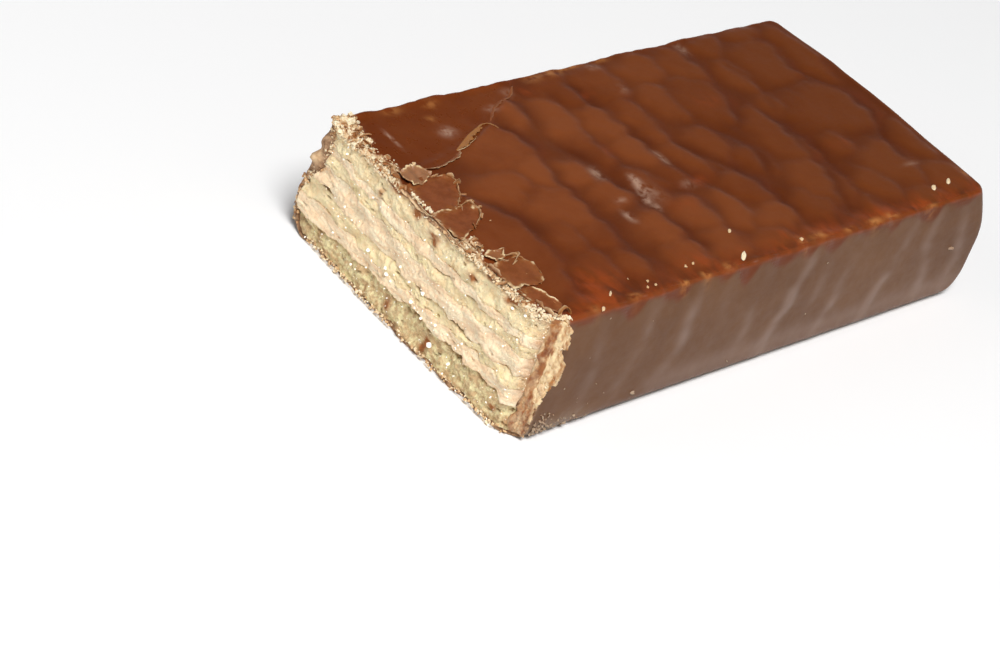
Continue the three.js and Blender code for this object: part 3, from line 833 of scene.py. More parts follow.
def coatLevels():
    radius, rim, height = bar["lowerSideRadius"], bar["rimRadius"], bar["height"]
    lower = radius * (1 - np.cos(np.linspace(0, math.pi / 2, coatMesh["lowerArc"] + 1)))
    middle = radius + spaced(*coatMesh["up"])
    upper = height - rim + rim * np.sin(np.linspace(0, math.pi / 2, coatMesh["rimArc"] + 1))
    return np.concatenate([lower[:-1], middle[middle < height - rim - 0.1], upper])


def rimNicks(x, y, z):
    # how far the thin near rim is worn down
    away = np.hypot(y + halfWidth, z - bar["height"])
    line = pointsAt(x, 0, 0)
    worn = np.maximum(0, roughNoise(line, 1.7, 81, 2))
    worn = worn + rim["wornMore"] * np.maximum(0, smoothNoise(line, 0.6, 85))
    return rim["worn"] * worn * bell(away, rim["wornWidth"])


def rimWave(x, y, z):
    inside = np.maximum(0, np.minimum(halfWidth - np.abs(y), bar["rimLength"] - x))
    share = smoothStep(z, bar["height"] - rim["waveDown"], bar["height"])
    share = share * (1 - smoothStep(inside, 0, rim["waveIn"]))
    height, length = rim["wave"]
    return height * share * roughNoise(pointsAt(x, 0.4 * y, 0), length, 91)


bandEdge = [  # y, and how far behind the cut the crumbs cover the upper face there
    (-15.7, 0.7), (-14.0, 1.1), (-12.0, 1.4), (-10.6, 1.3), (-9.6, 0.6), (-7.4, 0.6), (-5.8, 0.9),
    (-5.0, 1.7), (-3.3, 1.9), (-2.8, 0.25), (4.4, 0.2), (5.4, 0.7), (6.8, 1.0), (7.6, 1.9), (8.4, 2.3),
    (10.0, 1.3), (11.3, 1.9), (13.0, 1.7), (15.0, 2.1), (15.7, 1.9),
]


def crumbledEdge(x, y):
    # 1 where the upper face broke into crumbs beside the cut
    reach = np.interp(y, *np.array(bandEdge).T)
    place = pointsAt(x, y, 0)
    reach = reach * (0.9 + 0.7 * roughNoise(place, 0.8, 97, 3))
    return 1 - smoothStep((x - cutAt(y)) / np.maximum(reach, 0.05), 0.75, 1.02)


def knobRelief(y, z):
    return spotted(y, z, [knob])


def smearShape(y, z):
    # the brown smear down the near side of the cut
    middle = lerp(smear["foot"], smear["top"], np.clip(z / bar["height"], 0, 1))
    low, high = smear["upTo"]
    return bell(y - middle, smear["width"]) * smoothStep(z, *smear["from"]) * smoothStep(-z, -high, -low)


def coatSkin():
    # the outer skin: its points, the level of each before the relief, which lie on the upper face,
    # and the sheets of point numbers
    along, across = spaced(*coatMesh["along"]), spaced(*coatMesh["across"])
    along, across = along / along[-1], 2 * across / across[-1] - 1
    levels = coatLevels()
    counts = [len(along) - 1, len(across) - 1, len(levels) - 1]
    steps, sheets = latticeSkin(counts, (False, True))
    i, j, k = steps.T
    u, v, z = along[i], across[j], levels[k]
    level = z
    relief = coatRelief

    cornerY = sideAt(z)
    flatY = v * cornerY
    endX = bar["rimLength"] + bar["endBow"] * (1 - v * v) + bar["endBulge"]
    cornerX = endX - drawIn(z, bar["endBulge"], bar["lowerEndRadius"])
    start = cutFace(flatY, z) + uneven(pointsAt(0, flatY, z), relief["brim"], 51)
    inward = smoothStep(halfWidth - np.abs(flatY), 0.8, 2.0)
    start = start + relief["floorBack"] * (1 - smoothStep(z, 0.0, 1.0)) * inward
    flatX = lerp(start, cornerX, u)
    x, y = roundedCorner(flatX, flatY, cornerX, cornerY)
    onNear, onFar, onEnd = j == 0, j == counts[1], i == counts[0]
    onTop = (k == counts[2]) & ~onNear & ~onFar & ~onEnd
    radius = bar["cornerRadius"]
    roundX = np.clip((flatX - cornerX + radius) / radius, 0, 1)
    roundY = np.clip((np.abs(flatY) - cornerY + radius) / radius, 0, 1)
    intoEnd = np.where(onEnd, 1, (onNear | onFar) * roundX)
    intoSide = np.where(onNear | onFar, 1, onEnd * roundY)

    place = pointsAt(x, y, z)
    sideRelief = np.where(y < 0, nearDrips(x, z) - rimHollows(x, z), otherDrips(x, z) + lumpRelief(x, z))
    sideRelief = sideRelief + uneven(place, relief["side"], 61) * (z > 0.3)
    crumbledFoot = (y < 0) * (1 - smoothStep(x, *relief["footEnds"]))
    crumbledFoot = crumbledFoot * (1 - smoothStep(z, *relief["footTop"])) * smoothStep(z, 0.0, 0.5)
    height, length = relief["foot"]
    sideRelief = sideRelief + height * crumbledFoot * roughNoise(place, length, 63, 3, 0.7)
    endRelief = otherDrips(y + bar["rimLength"], z) + uneven(place, relief["side"], 62) * (z > 0.3)
    x = x + endRelief * intoEnd
    y = y + np.sign(y) * sideRelief * intoSide
    endFade = smoothStep(cornerX - flatX, 0, puddles["rimFade"])
    z = z + np.where(onTop, topRelief(x, y) * endFade, 0)
    lift = rimWave(x, y, z)
    z = z + lift - rimNicks(x, y, z)
    y = y + np.sign(y) * lift * (onNear | onFar)
    onFace = pointsAt(x, y, 0)
    depth, size = relief["crumbledPits"]
    broken = relief["crumbledDepth"] + uneven(onFace, relief["crumbled"], 57)
    broken = broken + depth * nearestSpots(onFace, size, 58)[0]
    z = z - crumbledEdge(x, y) * onTop * broken
    return pointsAt(x, y, z), level, onTop, sheets


def coatCavity(ring, level):
    # rows of points from the outer edge of the cut over the brim and along the walls round the layers
    relief = coatRelief
    ceiling = bar["height"] - bar["coatTop"]
    innerY = np.clip(ring[:, 1] / (halfWidth - bar["rimRadius"]), -1, 1) * wallY
    innerZ = lerp(bar["coatFloor"], ceiling, np.clip(level / bar["height"], 0, 1))
    mouthY = innerY + spreadAt(ring[:, 0], innerY, innerZ)
    rows = []
    for part in np.linspace(0, 1, coatMesh["brim"] + 1)[1:]:
        row = pointsAt(ring[:, 0], lerp(ring[:, 1], mouthY, part), lerp(ring[:, 2], innerZ, part))
        lumpy = uneven(row * (0, 1, 1), relief["brimLumps"], 53) * smoothStep(row[:, 1], 14.5, 15.5)
        lumpy = lumpy + uneven(row * (0, 1, 1), relief["brimGrit"], 55)
        groove = relief["groove"] * smearShape(row[:, 1], row[:, 2])
        start = cutFace(row[:, 1], row[:, 2]) + relief["floorBack"] * (row[:, 2] < 1)
        fade = min(1, 4 * part)
        bulge = knobRelief(row[:, 1], row[:, 2]) * fade
        row[:, 0] = lerp(ring[:, 0], start, part)
        row[:, 0] += (lumpy + groove) * fade - bulge
        row[:, 1] += 0.5 * bulge
        rows.append(row)
    mouth = rows[-1][:, 0]
    for depth in coatMesh["cavity"] + [bar["rimLength"] - bar["coatEnd"]]:
        x = np.where(depth > 10, depth, mouth + depth)
        rows.append(pointsAt(x, innerY + spreadAt(x, innerY, innerZ), innerZ))
    return rows


def coatWarmth(x, y, z, upper, fromCut):
    # where the upper face is redder
    down = z - bar["height"]
    total = spotted(x, y, warmSpots)
    share, width = warmth["nearRim"]
    total = total + share * bell(np.hypot(y + halfWidth, down * 0.8), width)
    share, width = warmth["nearBand"]
    total = total + share * (bell(y + halfWidth, width) * upper)
    share, width = warmth["farRim"]
    total = total + share * bell(np.hypot(y - halfWidth, down), width)
    share, width = warmth["cut"]
    return total + share * bell(fromCut, width) * np.exp(-(np.maximum(0, bar["height"] - z) / 0.8))


def paintedSheenStreaks(x, y, z):
    # painted sheen: lighter streaks along the drips, where they would catch a reflection, and a lighter
    # band low on the near side
    lowBand = 0.6 * bell(z - 2.2, 1.3) * smoothStep(x, 12, 18)
    streaks = np.where(y < -14, streakShape(x, z, nearStreaks) * streakStrength(x, z, 171) + lowBand, 0)
    streaks = streaks + (y > 14) * streakShape(x, z, otherStreaks) * streakStrength(x, z, 175)
    return streaks + (np.abs(y) <= 14) * streakShape(y + bar["rimLength"], z, otherStreaks)


def coatFields(points, upper, isOuter):
    # what the chocolate's look asks of each point; upper says which lie on the upper face
    x, y, z = points.T
    height = bar["height"]
    inPatch = smoothStep(patchEdge(x, y), -0.02, 0.02) * smoothStep(z, height - 0.6, height - 0.2)
    fromCut = x - cutAt(y, z)
    onBrim = np.where(isOuter, bell(np.maximum(0, fromCut), 0.22), 1)
    nearBrim = onBrim * smoothStep(-y, 14.3, 14.8) * smoothStep(z, 3.8, 5.2)
    warm = coatWarmth(x, y, z, upper, fromCut) * (z >= height - 0.35)
    reach = rimReach(x, y)
    # painted shade: the near side is painted darker just under the rim, through the valley colour
    shadeUnderRim = 0.5 * (y < -12) * isOuter * smoothStep(height - z, 0.1, 0.7)
    runs = nearRuns(x)
    leanEnd = height - 1.2 * runs - 0.3
    leaning = np.clip((z - leanEnd) / (height - leanEnd), 0, 1) ** 1.7
    atFoot = (y < -12) * (1 - smoothStep(x, 4.0, 10.0)) * (1 - smoothStep(z, 1.2, 2.8))
    sideTone = 0.5 + 0.4 * smoothNoise(points, 7.0, 99)
    dust = np.where(upper, 0.95 * crumbledEdge(x, y), 0) + knobRelief(y, z) * ~isOuter + nearBrim
    return {
        "valley": np.where(upper, heightMap.read(heightMap.valley, x, y) * (1 - inPatch), shadeUnderRim),
        "step": np.where(upper, heightMap.read(heightMap.step, x, y) * (1 - inPatch), 0),
        "tone": np.where(upper, heightMap.read(heightMap.tone, x, y), sideTone),
        # painted shade towards the whole end
        "far": smoothStep(x, 12, 55),
        "patch": inPatch,
        "thin": np.clip(warm, 0, 1),
        "golden": spotted(x, y, goldenSpots) * (z > height - 1.5),
        "scuff": spotted(x, y, scuffs) * upper,
        "side": (1 - smoothStep(z, height - reach - 0.9, height - reach + 0.6)) * ~upper,
        "foot": np.maximum(atFoot, 0.55 * (y < -12) * bell(z, 0.5)),
        "lean": -runs * ((y < -15) & ~upper) * leaning,
        "broken": onBrim,
        # painted sheen along the drips of the sides
        "sheenStreak": np.clip(paintedSheenStreaks(x, y, z), 0, 1) * ~upper * smoothStep(fromCut, 0.3, 1.5),
        "smear": nearBrim * smearShape(y, z),
        "dust": np.clip(dust, 0, 1),
    }


def coatPiece(finish):
    outer, level, onTop, sheets = coatSkin()
    outerRing = ringOf(sheets["start"])
    inner = coatCavity(outer[outerRing], level[outerRing])
    innerNumbers = len(outer) + np.arange(len(inner) * len(outerRing)).reshape(len(inner), -1)
    rings = np.concatenate([outerRing[None], innerNumbers])
    rings = np.concatenate([rings, rings[:, :1]], 1)
    faces = [quadsOf(sheets[s]) for s in ("bottom", "top", "near", "far", "end")] + [quadsOf(rings)]
    faces = [*np.concatenate(faces), innerNumbers[-1]]
    points = np.concatenate([outer, *inner])
    isOuter = np.arange(len(points)) < len(outer)
    upper = np.concatenate([onTop, np.zeros(innerNumbers.size, bool)])
    fields = coatFields(points, upper, isOuter)
    makePiece("chocolateCoat", points, faces, finish, ["coat"], fields)


# Wafer sheets and creams

layerStack = [  # from the top down, with their thickness: the mean of the two long sides
    ("wafer", 2.0), ("cream", 0.95), ("wafer", 1.25), ("cream", 1.95), ("wafer", 1.95), ("cream", 2.2),
    ("wafer", 2.25),
]
seamShapes = [  # rise of each seam from the middle to the far side, and how much higher it is in the middle
    (0.05, -0.3), (0.1, -0.45), (0.3, -0.2), (0.15, -0.65), (-0.4, 0.1), (-0.4, 1.0), (0, 0),
]
layers = {
    "ribPitch": 3.1, "ribDepth": 0.26, "wave": 0.2, "waveLength": 17.0,
    "crumbDepth": 0.07, "creamLead": 0.04, "lastSetBack": 0.28,
    "wallGap": 0.02, "ragged": 0.32,
    "fineness": 0.085, "depths": [0.0, 0.12, 0.3, 0.6, 1.1, 2.0, 4.0],
}
cracks = [  # the seam each follows, counted from the top, where it runs across, and how far it opens
    (1, -13.4, -11.6, 0.25), (1, -8.8, -5.2, 0.25), (1, -4.4, -1.4, 0.5), (1, 3.0, 5.0, 0.25),
    (3, -13.8, -11.8, 0.45), (3, -11.4, -4.6, 0.36), (3, -4.0, 0.6, 0.34), (3, 1.2, 4.0, 0.34),
    (3, 11.6, 14.6, 0.42), (5, -13.2, -9.2, 0.32), (5, -8.8, -5.0, 0.6), (5, -3.6, 1.2, 0.42),
    (5, 1.8, 4.2, 0.5), (5, 7.6, 11.4, 0.32),
]
crackShape = {
    "taper": 1.5, "middle": 0.75, "swing": (0.9, 1.6), "widest": 1.4,
    "opens": 0.36,  # how far the seam's edge gives way on each side
    "sunk": 0.42, "sunkWidth": 0.25,  # how far and how wide the layers are sunk beside it
}
breaks = {  # relief of the broken faces; pairs are the height and the size of an unevenness
    "wafer": {
        "flaky": (0.07, (1, 1.6, 0.3)), "crumbly": (0.19, 0.42), "grains": (0.14, 0.34),
        "holes": (0.2, 0.42), "holeShape": (1, 2.2, 1), "holeShare": 0.8, "holeEdge": 0.2, "seed": 60,
    },
    "cream": {
        "flaky": (0.06, (1.0, 2.0, 0.35)), "crumbly": (0.17, 0.4), "grains": (0.12, 0.3),
        "holes": (0.16, 0.4), "holeShape": (1, 2.4, 1), "holeShare": 0.88, "holeEdge": 0.25, "seed": 0,
    },
    "lastMore": 0.3,  # the undermost wafer is rougher by this share
    "fade": 0.9,  # how far in from the cut the relief fades
    "seamGroove": 0.06, "seamGrooveWidth": 0.09,
    "jitter": (0.035, 0.2),
}
brownSpots = [  # bits of chocolate on the cut: y, z, half-lengths across and up, strength
    (-11.2, 12.7, 0.5, 0.4, 1.3), (-10.6, 12.3, 0.4, 0.3, 0.9), (-8.0, 12.9, 0.6, 0.25, 1.2),
    (-6.2, 11.6, 0.5, 0.4, 1.2), (-0.8, 12.0, 0.6, 0.3, 1.8), (-0.8, 11.4, 0.5, 0.25, 1.8),
    (2.2, 12.4, 0.55, 0.4, 1.8), (5.0, 13.0, 0.7, 0.4, 1.6), (7.0, 11.2, 0.3, 0.45, 1.1),
    (-12.6, 1.7, 0.4, 0.35, 1.4), (-3.4, 2.0, 0.35, 0.6, 1.7), (-3.0, 1.1, 0.35, 0.5, 1.6),
    (2.5, 1.8, 0.4, 0.6, 1.8), (-9.5, 1.9, 0.18, 0.6, 0.5), (-0.4, 1.9, 0.2, 0.6, 0.5),
    (5.6, 1.3, 0.18, 0.5, 0.7), (-14.3, 1.3, 0.4, 0.4, 0.7), (-8.2, 0.7, 0.8, 0.15, 0.5),
    (0.2, 0.7, 1.2, 0.15, 0.4), (6.6, 0.8, 1.0, 0.15, 0.5), (12.0, 0.9, 1.4, 0.15, 0.4),
    (4.3, 10.3, 0.5, 0.2, 0.4), (10.8, 10.8, 1.2, 0.2, 0.3),
]


def makeSeam(base, tilt, bow, seed):
    draw = makeRandom(seed)
    draw()
    ribShift = draw()
    waveShift = 2 * math.pi * draw()
    field = makeWobble(seed + 5, layers["ribPitch"], 3)

    def seam(y):
        rib = np.abs((y / layers["ribPitch"] + ribShift) % 1 - 0.5) * 4 - 1
        wave = np.sin(2 * math.pi * y / layers["waveLength"] + waveShift)
        across = y / halfWidth
        level = base + tilt * across + bow * (1 - across**2)
        return level + layers["ribDepth"] / 2 * (rib + 0.5 * field(y, 0 * y)) + layers["wave"] / 2 * wave

    return seam


def crackOpening(number, y):
    shape = crackShape
    total = 0
    for i, (seam, start, end, opening) in enumerate(cracks):
        if seam != number:
            continue
        reach = smoothStep(y, start, start + shape["taper"]) * smoothStep(-y, -end, shape["taper"] - end)
        width = shape["middle"] + uneven(pointsAt(y, 0, 0), shape["swing"], 301 + i)
        total = total + opening * reach * np.clip(width, 0, shape["widest"])
    return total


def brokenFace(place, kind, seed):
    # relief of a broken wafer or cream: flakes, crumbs and pores
    relief = breaks[kind]
    height, size = relief["grains"]
    grains = height * (0.5 - nearestSpots(place, size, seed + 20)[0])
    depth, size = relief["holes"]
    pores, _, which = nearestSpots(place / relief["holeShape"], size, seed + 40)
    holes = (which > relief["holeShare"]) * smoothStep(size - pores, 0, relief["holeEdge"])
    flaky = uneven(place, relief["flaky"], seed + relief["seed"])
    crumbly = uneven(place, relief["crumbly"], seed + 66, 3, 0.7)
    return flaky + crumbly + grains - depth * holes


def raggedness(flat, number):
    # rise and fall of a seam's torn edge
    return layers["ragged"] * roughNoise(flat, 1.7, 400 + number, 5, 0.7)


def stains(y, z):
    # brown chocolate smeared over the cut beside the coat, and a few spots of it
    place = pointsAt(0, y, z)
    loose = 0.5 + 0.5 * roughNoise(place, 0.7, 431, 4, 0.6)
    near = smoothStep(-y - 1.1 * loose, 13.3, 14.5) * smoothStep(z, 3.0, 5.0)
    upper = smoothStep(z + 0.9 * loose, bar["height"] - 0.55, bar["height"] - 0.1)
    spots = spotted(y, z, brownSpots) * (0.5 + loose)
    return np.clip(0.7 * near + 0.25 * upper + spots, 0, 1)


def layerPiece(number, name, node, finish, seams):
    kind, thickness = layerStack[number]
    isWafer, isLast = kind == "wafer", number == len(layerStack) - 1
    wide = wallY - layers["wallGap"]
    lead = layers["lastSetBack"] * isLast if isWafer else -layers["creamLead"]
    depths = layers["depths"] + [layersEnd]
    counts = [len(depths) - 1, *(round(size / layers["fineness"]) for size in (2 * wide, thickness))]
    steps, sheets = latticeSkin(counts, (True, False))
    i, j, k = steps.T
    v, w = j / counts[1], k / counts[2]
    y = (2 * v - 1) * wide
    depth = np.array(depths)[i]
    fromFront = np.where(i == counts[0], 50, depth)
    flat = pointsAt(depth, y, 0)
    fade = np.exp(-fromFront / 2.5)
    floor = np.full(y.shape, bar["coatFloor"] + layers["wallGap"])
    if not isLast:
        opening = crackShape["opens"] * crackOpening(number, y)
        floor = seams[number](y) + (raggedness(flat, number + 1) + opening) * fade
    ceiling = np.full(y.shape, bar["height"] - bar["coatTop"] - layers["wallGap"])
    if number:
        opening = crackShape["opens"] * crackOpening(number - 1, y)
        ceiling = seams[number - 1](y) + (raggedness(flat, number) - opening) * fade
    z = lerp(floor, ceiling, w)
    place = pointsAt(cutAt(y, z), y, z)
    seed = 211 + 13 * number
    coarse = layers["crumbDepth"] * makeWobble(seed, 2.2, 6)(y, z) + cutFace(y, z)
    detail = brokenFace(place, kind, seed) * (1 + breaks["lastMore"] * isLast)
    edge = np.minimum(w, 1 - w) * thickness
    grooved = breaks["seamGroove"] * np.clip(0.5 + roughNoise(place, (1.0, 1.4, 0.4), seed + 75), 0, 1)
    detail = detail - grooved * bell(edge, breaks["seamGrooveWidth"])
    beside = crackOpening(number, y) * (w < 0.5) + crackOpening(number - 1, y) * (w >= 0.5)
    detail = detail - crackShape["sunk"] * beside * bell(edge, crackShape["sunkWidth"])
    front = coarse - detail * np.exp(-fromFront / breaks["fade"])
    x = lead + front + depth
    x = np.where(i == counts[0], layersEnd, x)
    inside = (i == 0) & (j > 0) & (j < counts[1]) & (k > 0) & (k < counts[2])
    y = y + spreadAt(x, y, z) * 0.95
    jitter, size = breaks["jitter"]
    y = y + jitter * inside * smoothNoise(place, size, seed + 71)
    z = z + jitter * inside * smoothNoise(place, size, seed + 72)
    faces = [quadsOf(sheets[s]) for s in ("bottom", "top", "near", "far", "start")]
    faces = [*np.concatenate(faces), ringOf(sheets["end"])]
    fields = {
        # how high the broken relief stands; it sets the painted shade in the hollows
        "high": np.clip(0.5 + detail / 0.7, 0, 1) * np.exp(-fromFront / 0.5),
        # marks the lowest wafer, which is painted darker as painted shade
        "low": np.full(len(y), 1.0 if isLast else 0.0),
        "upper": smoothStep(z, 8.5, 11.5),
        "brown": stains(y, z) * np.exp(-fromFront / 0.8),
    }
    makePiece(name, pointsAt(x, y, z), faces, finish, [node], fields)


waferLook = {
    "light": (255, 239, 199), "dark": (255, 226, 176), "green": (250, 223, 154),
    "toast": (226, 168, 112, 0.4),
    # the lowest wafer's colours are painted darker: painted shade for its place under the creams
    "last": (210, 174, 127), "shadedLastLight": (243, 230, 178), "speck": (124, 92, 50, 0.4), "shadedLastCover": 0.85,
    # the pore and hollow colours are painted shade
    "pores": (146, 106, 48, 0.25), "hollowShade": (146, 106, 48, 0.75), "brown": (166, 102, 54),
    "roughness": 0.85, "bump": (0.2, 0.8),
    "specular": 0.35, "scatter": 0.1, "scatterScale": 0.0005, "scatterRadius": (1.0, 0.75, 0.45),
}
creamLook = {
    "light": (255, 236, 202), "dark": (252, 218, 178),
    # the pore and hollow colours are painted shade
    "pores": (156, 112, 64, 0.25), "hollowShade": (156, 112, 64, 0.65), "brown": (164, 102, 54),
    "roughness": 0.7, "bump": (0.17, 0.8),
    "specular": 0.4, "scatter": 0.1, "scatterScale": 0.0005, "scatterRadius": (1.0, 0.7, 0.5),
}


def paintedHollowShadeAndStains(finish, colour, high, grain):
    # painted shade in the pores and hollows of a broken layer, and brown where chocolate is smeared over it
    colour = finish.over(colour, 1 - finish.step(grain, 0.3, 0.48), "pores")
    colour = finish.over(colour, 1 - finish.step(high, 0.06, 0.4), "hollowShade")
    return finish.over(colour, finish.field("brown"), "brown")


def waferFinish():
    look = waferLook
    finish = Finish("bakedWafer", look)
    high = finish.field("high")
    grain = finish.noise(0.22, 5, 0.7)
    colour = finish.between(finish.step(finish.noise(0.9, 4, 0.6), 0.35, 0.65), "dark", "light")
    olive = finish.step(finish.noise(0.9, 4, 0.6), 0.48, 0.66) * (0.5 - 0.3 * finish.field("upper"))
    colour = finish.over(colour, olive, "green")
    colour = finish.over(colour, finish.step(finish.noise(1.1, 4, 0.65, 1.0), 0.62, 0.72), "toast")
    # painted shade: the lowest wafer, set back under the creams, is painted darker as if in shadow
    last = finish.between(finish.step(finish.noise(0.8, 5, 0.65), 0.4, 0.6), "shadedLastLight", "last")
    last = finish.over(last, 1 - finish.step(finish.noise(0.5, 4, 0.7), 0.36, 0.46), "speck")
    colour = finish.mix(finish.field("low") * look["shadedLastCover"], colour, last)
    colour = paintedHollowShadeAndStains(finish, colour, high, grain)
    finish.food(colour, look["roughness"] - 0.15 * grain, grain)
    return finish


def creamFinish():
    look = creamLook
    finish = Finish("nutCream", look)
    high = finish.field("high")
    grain = finish.noise(0.2, 4, 0.6)
    streaks = finish.noise(0.8, 4, 0.6, 0.3, (1.0, 0.35, 1.6))
    colour = finish.between(finish.step(streaks, 0.35, 0.65), "dark", "light")
    colour = paintedHollowShadeAndStains(finish, colour, high, grain)
    finish.food(colour, look["roughness"] + 0.15 * grain, grain)
    return finish


def allLayers():
    finishes = {"wafer": waferFinish(), "cream": creamFinish()}
    names = {"wafer": "waferSheet", "cream": "creamFilling"}
    top = bar["height"] - bar["coatTop"]
    seams = []
    for number, (kind, thickness) in enumerate(layerStack):
        top -= thickness
        seams.append(makeSeam(top, *seamShapes[number], 101 + 7 * number))
    for number, (kind, thickness) in enumerate(layerStack):
        order = number // 2 + 1
        layerPiece(number, f"{names[kind]}{order}", f"{kind}_{order}", finishes[kind], seams)


# Crumbs

def ballShape(level):
    shape = bmesh.new()
    bmesh.ops.create_icosphere(shape, subdivisions=level, radius=1)
    points = np.array([v.co for v in shape.verts])
    faces = np.array([[v.index for v in f.verts] for f in shape.faces])
    shape.free()
    return points, faces


def brokenLumps(spots, sizes, random, level=1, flat=(0.4, 1.0), dented=0.4):
    # one irregular turned lump at each spot
    ball, faces = ballShape(level)
    count = len(spots)
    dents = random.uniform(1 - dented, 1 + 0.8 * dented, (count, len(ball), 1))
    squash = random.uniform(*flat, (count, 1, 3))
    turns = np.linalg.qr(random.normal(size=(count, 3, 3)))[0]
    turned = np.einsum("nij,nkj->nki", turns, ball * dents * squash)
    points = turned * sizes[:, None, None] + spots[:, None, :]
    faces = faces[None] + (np.arange(count) * len(ball))[:, None, None]
    return points.reshape(-1, 3), faces.reshape(-1, 3), np.repeat(random.uniform(0, 1, count), len(ball))


def joined(parts):
    points, faces, values, total = [], [], [], 0
    for somePoints, someFaces, someValues in parts:
        points.append(somePoints)
        faces += [*(np.asarray(someFaces) + total)]
        values.append(someValues)
        total += len(somePoints)
    return np.concatenate(points), faces, np.concatenate(values)


crumbs = {
    "seed": 17,
    "onCut": 560, "nearCut": 260, "onEdge": 2300, "heap": 700, "corner": 220, "onBurr": 420, "onSide": 120,
    "brownOnEdge": 170, "onFarWall": 230, "onFloorEdge": 300, "whiteOnFilm": 40,
    "curls": 60, "farCurls": 30, "glints": 360,
    "clumpedCurls": (5, 6, 8), "clumps": 5,  # film curls that small shavings cling to
    "strayTurn": 40, "strayHeight": 0.6, "strayDents": 0.07,
}
lumps = {  # smallest size, how much larger some are, how many are, detail, flatness, shades from and to
    "onFarWall": (0.06, 0.2, 0.5, 1, (0.4, 1.0), 0.15, 0.8),
    "onFloorEdge": (0.06, 0.17, 0.6, 1, (0.4, 1.0), 0.35, 0.8),
    "onCut": (0.06, 0.11, 0.5, 1, (0.4, 1.0), 0.5, 1.1),
    "onEdge": (0.06, 0.22, 0.5, 1, (0.25, 1.0), 0.35, 1.1),
    "heap": (0.1, 0.3, 0.55, 2, (0.3, 1.0), 0.35, 1.05),
    "corner": (0.08, 0.2, 0.6, 2, (0.3, 1.0), 0.45, 1.1),
    "onBurr": (0.04, 0.13, 0.5, 1, (0.4, 1.0), 0.35, 1.0),
    "whiteOnFilm": (0.1, 0.18, 0.6, 1, (0.4, 1.0), 0.9, 1.3),
    "brownOnEdge": (0.08, 0.2, 0.6, 1, (0.25, 1.0), 0, 1),
    "onSide": (0.08, 0.22, 0.6, 1, (0.3, 0.9), 0, 1),
    "glints": (0.04, 0.11, 0.35, 1, (0.4, 1.0), 0, 1),
}
crumbLook = {
    "brown": (144, 92, 54), "tan": (218, 178, 132), "beige": (250, 232, 196),
    "roughness": 0.85, "bump": (0.05, 0.5),
    "specular": 0.35, "scatter": 0.15, "scatterScale": 0.0005, "scatterRadius": (1.0, 0.7, 0.4),
}
strayCrumbs = [  # x, y and half-lengths of single crumbs on the upper face
    (25.6, -11.3, 0.3, 0.16), (24.3, -14.6, 0.75, 0.24), (53.0, -13.5, 0.45, 0.25),
    (55.5, -13.3, 0.5, 0.22), (2.4, 7.6, 0.3, 0.2), (5.3, -15.6, 0.3, 0.16), (12.3, -14.0, 0.18, 0.14),
    (11.7, -14.7, 0.15, 0.12), (12.7, -14.7, 0.2, 0.13), (17.4, -13.8, 0.2, 0.15),
    (18.4, -13.7, 0.2, 0.13), (10.7, -13.1, 0.12, 0.1), (7.3, -14.3, 0.4, 0.12), (3.5, -2.0, 0.12, 0.1),
    (32.2, -14.7, 0.25, 0.2),
]
sideCrumbs = [  # x, z and size of single crumbs on the near side
    (56.2, 7.1, 0.42), (13.2, 1.8, 0.34), (6.5, 12.1, 0.13), (12.4, 10.3, 0.13), (5.2, 8.3, 0.13),
    (7.4, 4.7, 0.15), (36.0, 10.5, 0.14), (25.9, 1.7, 0.2), (5.5, 3.6, 0.12), (9.0, 3.1, 0.1),
    (35.6, 4.6, 0.14), (3.2, 5.4, 0.1),
]
clearGlints = [  # y, z and size of the larger sugar grains on the cut
    (-4.1, 2.3, 0.34), (3.5, 5.4, 0.22), (3.4, 4.7, 0.24), (6.3, 5.3, 0.2), (-0.6, 4.6, 0.2),
    (-4.1, 4.6, 0.16), (-1.5, 6.2, 0.2), (2.1, 6.5, 0.18), (-6.8, 2.2, 0.2), (2.6, 4.5, 0.14),
    (-12.9, 12.4, 0.18), (-11.4, 12.1, 0.16), (-15.2, 2.9, 0.18), (-2.2, 3.9, 0.16), (0.4, 6.1, 0.14),
    (6.4, 10.1, 0.14), (-7.6, 5.2, 0.14), (10.8, 6.9, 0.14),
]


def crumbFinish():
    look = crumbLook
    finish = Finish("looseCrumb", look)
    shade = finish.field("shade") + 0.3 * (finish.noise(0.35, 4, 0.6) - 0.5)
    colour = finish.between(finish.step(shade, 0.05, 0.45), "brown", "tan")
    colour = finish.over(colour, finish.step(shade, 0.4, 0.8), "beige")
    grain = finish.noise(0.15, 4, 0.7)
    finish.food(colour, look["roughness"] - 0.1 * grain, grain)
    return finish


def bandSpots(random, count, low, high, above):
    # places on the torn upper edge of the cut, in the band that crumbs cover
    y = random.uniform(low, high, 4 * count)
    reach = np.interp(y, *np.array(bandEdge).T)
    y = y[reach > random.uniform(0.22, 2.2, 4 * count)][:count]
    count = len(y)
    reach = np.interp(y, *np.array(bandEdge).T)
    x = cutAt(y) - 0.15 + (reach + 0.15) * random.power(0.8, count)
    return pointsAt(x, y, topAt(x, y) + random.uniform(*above, count))


def lumpsAt(random, kind, spots):
    smallest, more, many, level, flat, first, last = lumps[kind]
    sizes = smallest + more * random.power(many, len(spots))
    points, faces, values = brokenLumps(spots, sizes, random, level, flat)
    return points, faces, lerp(first, last, values)


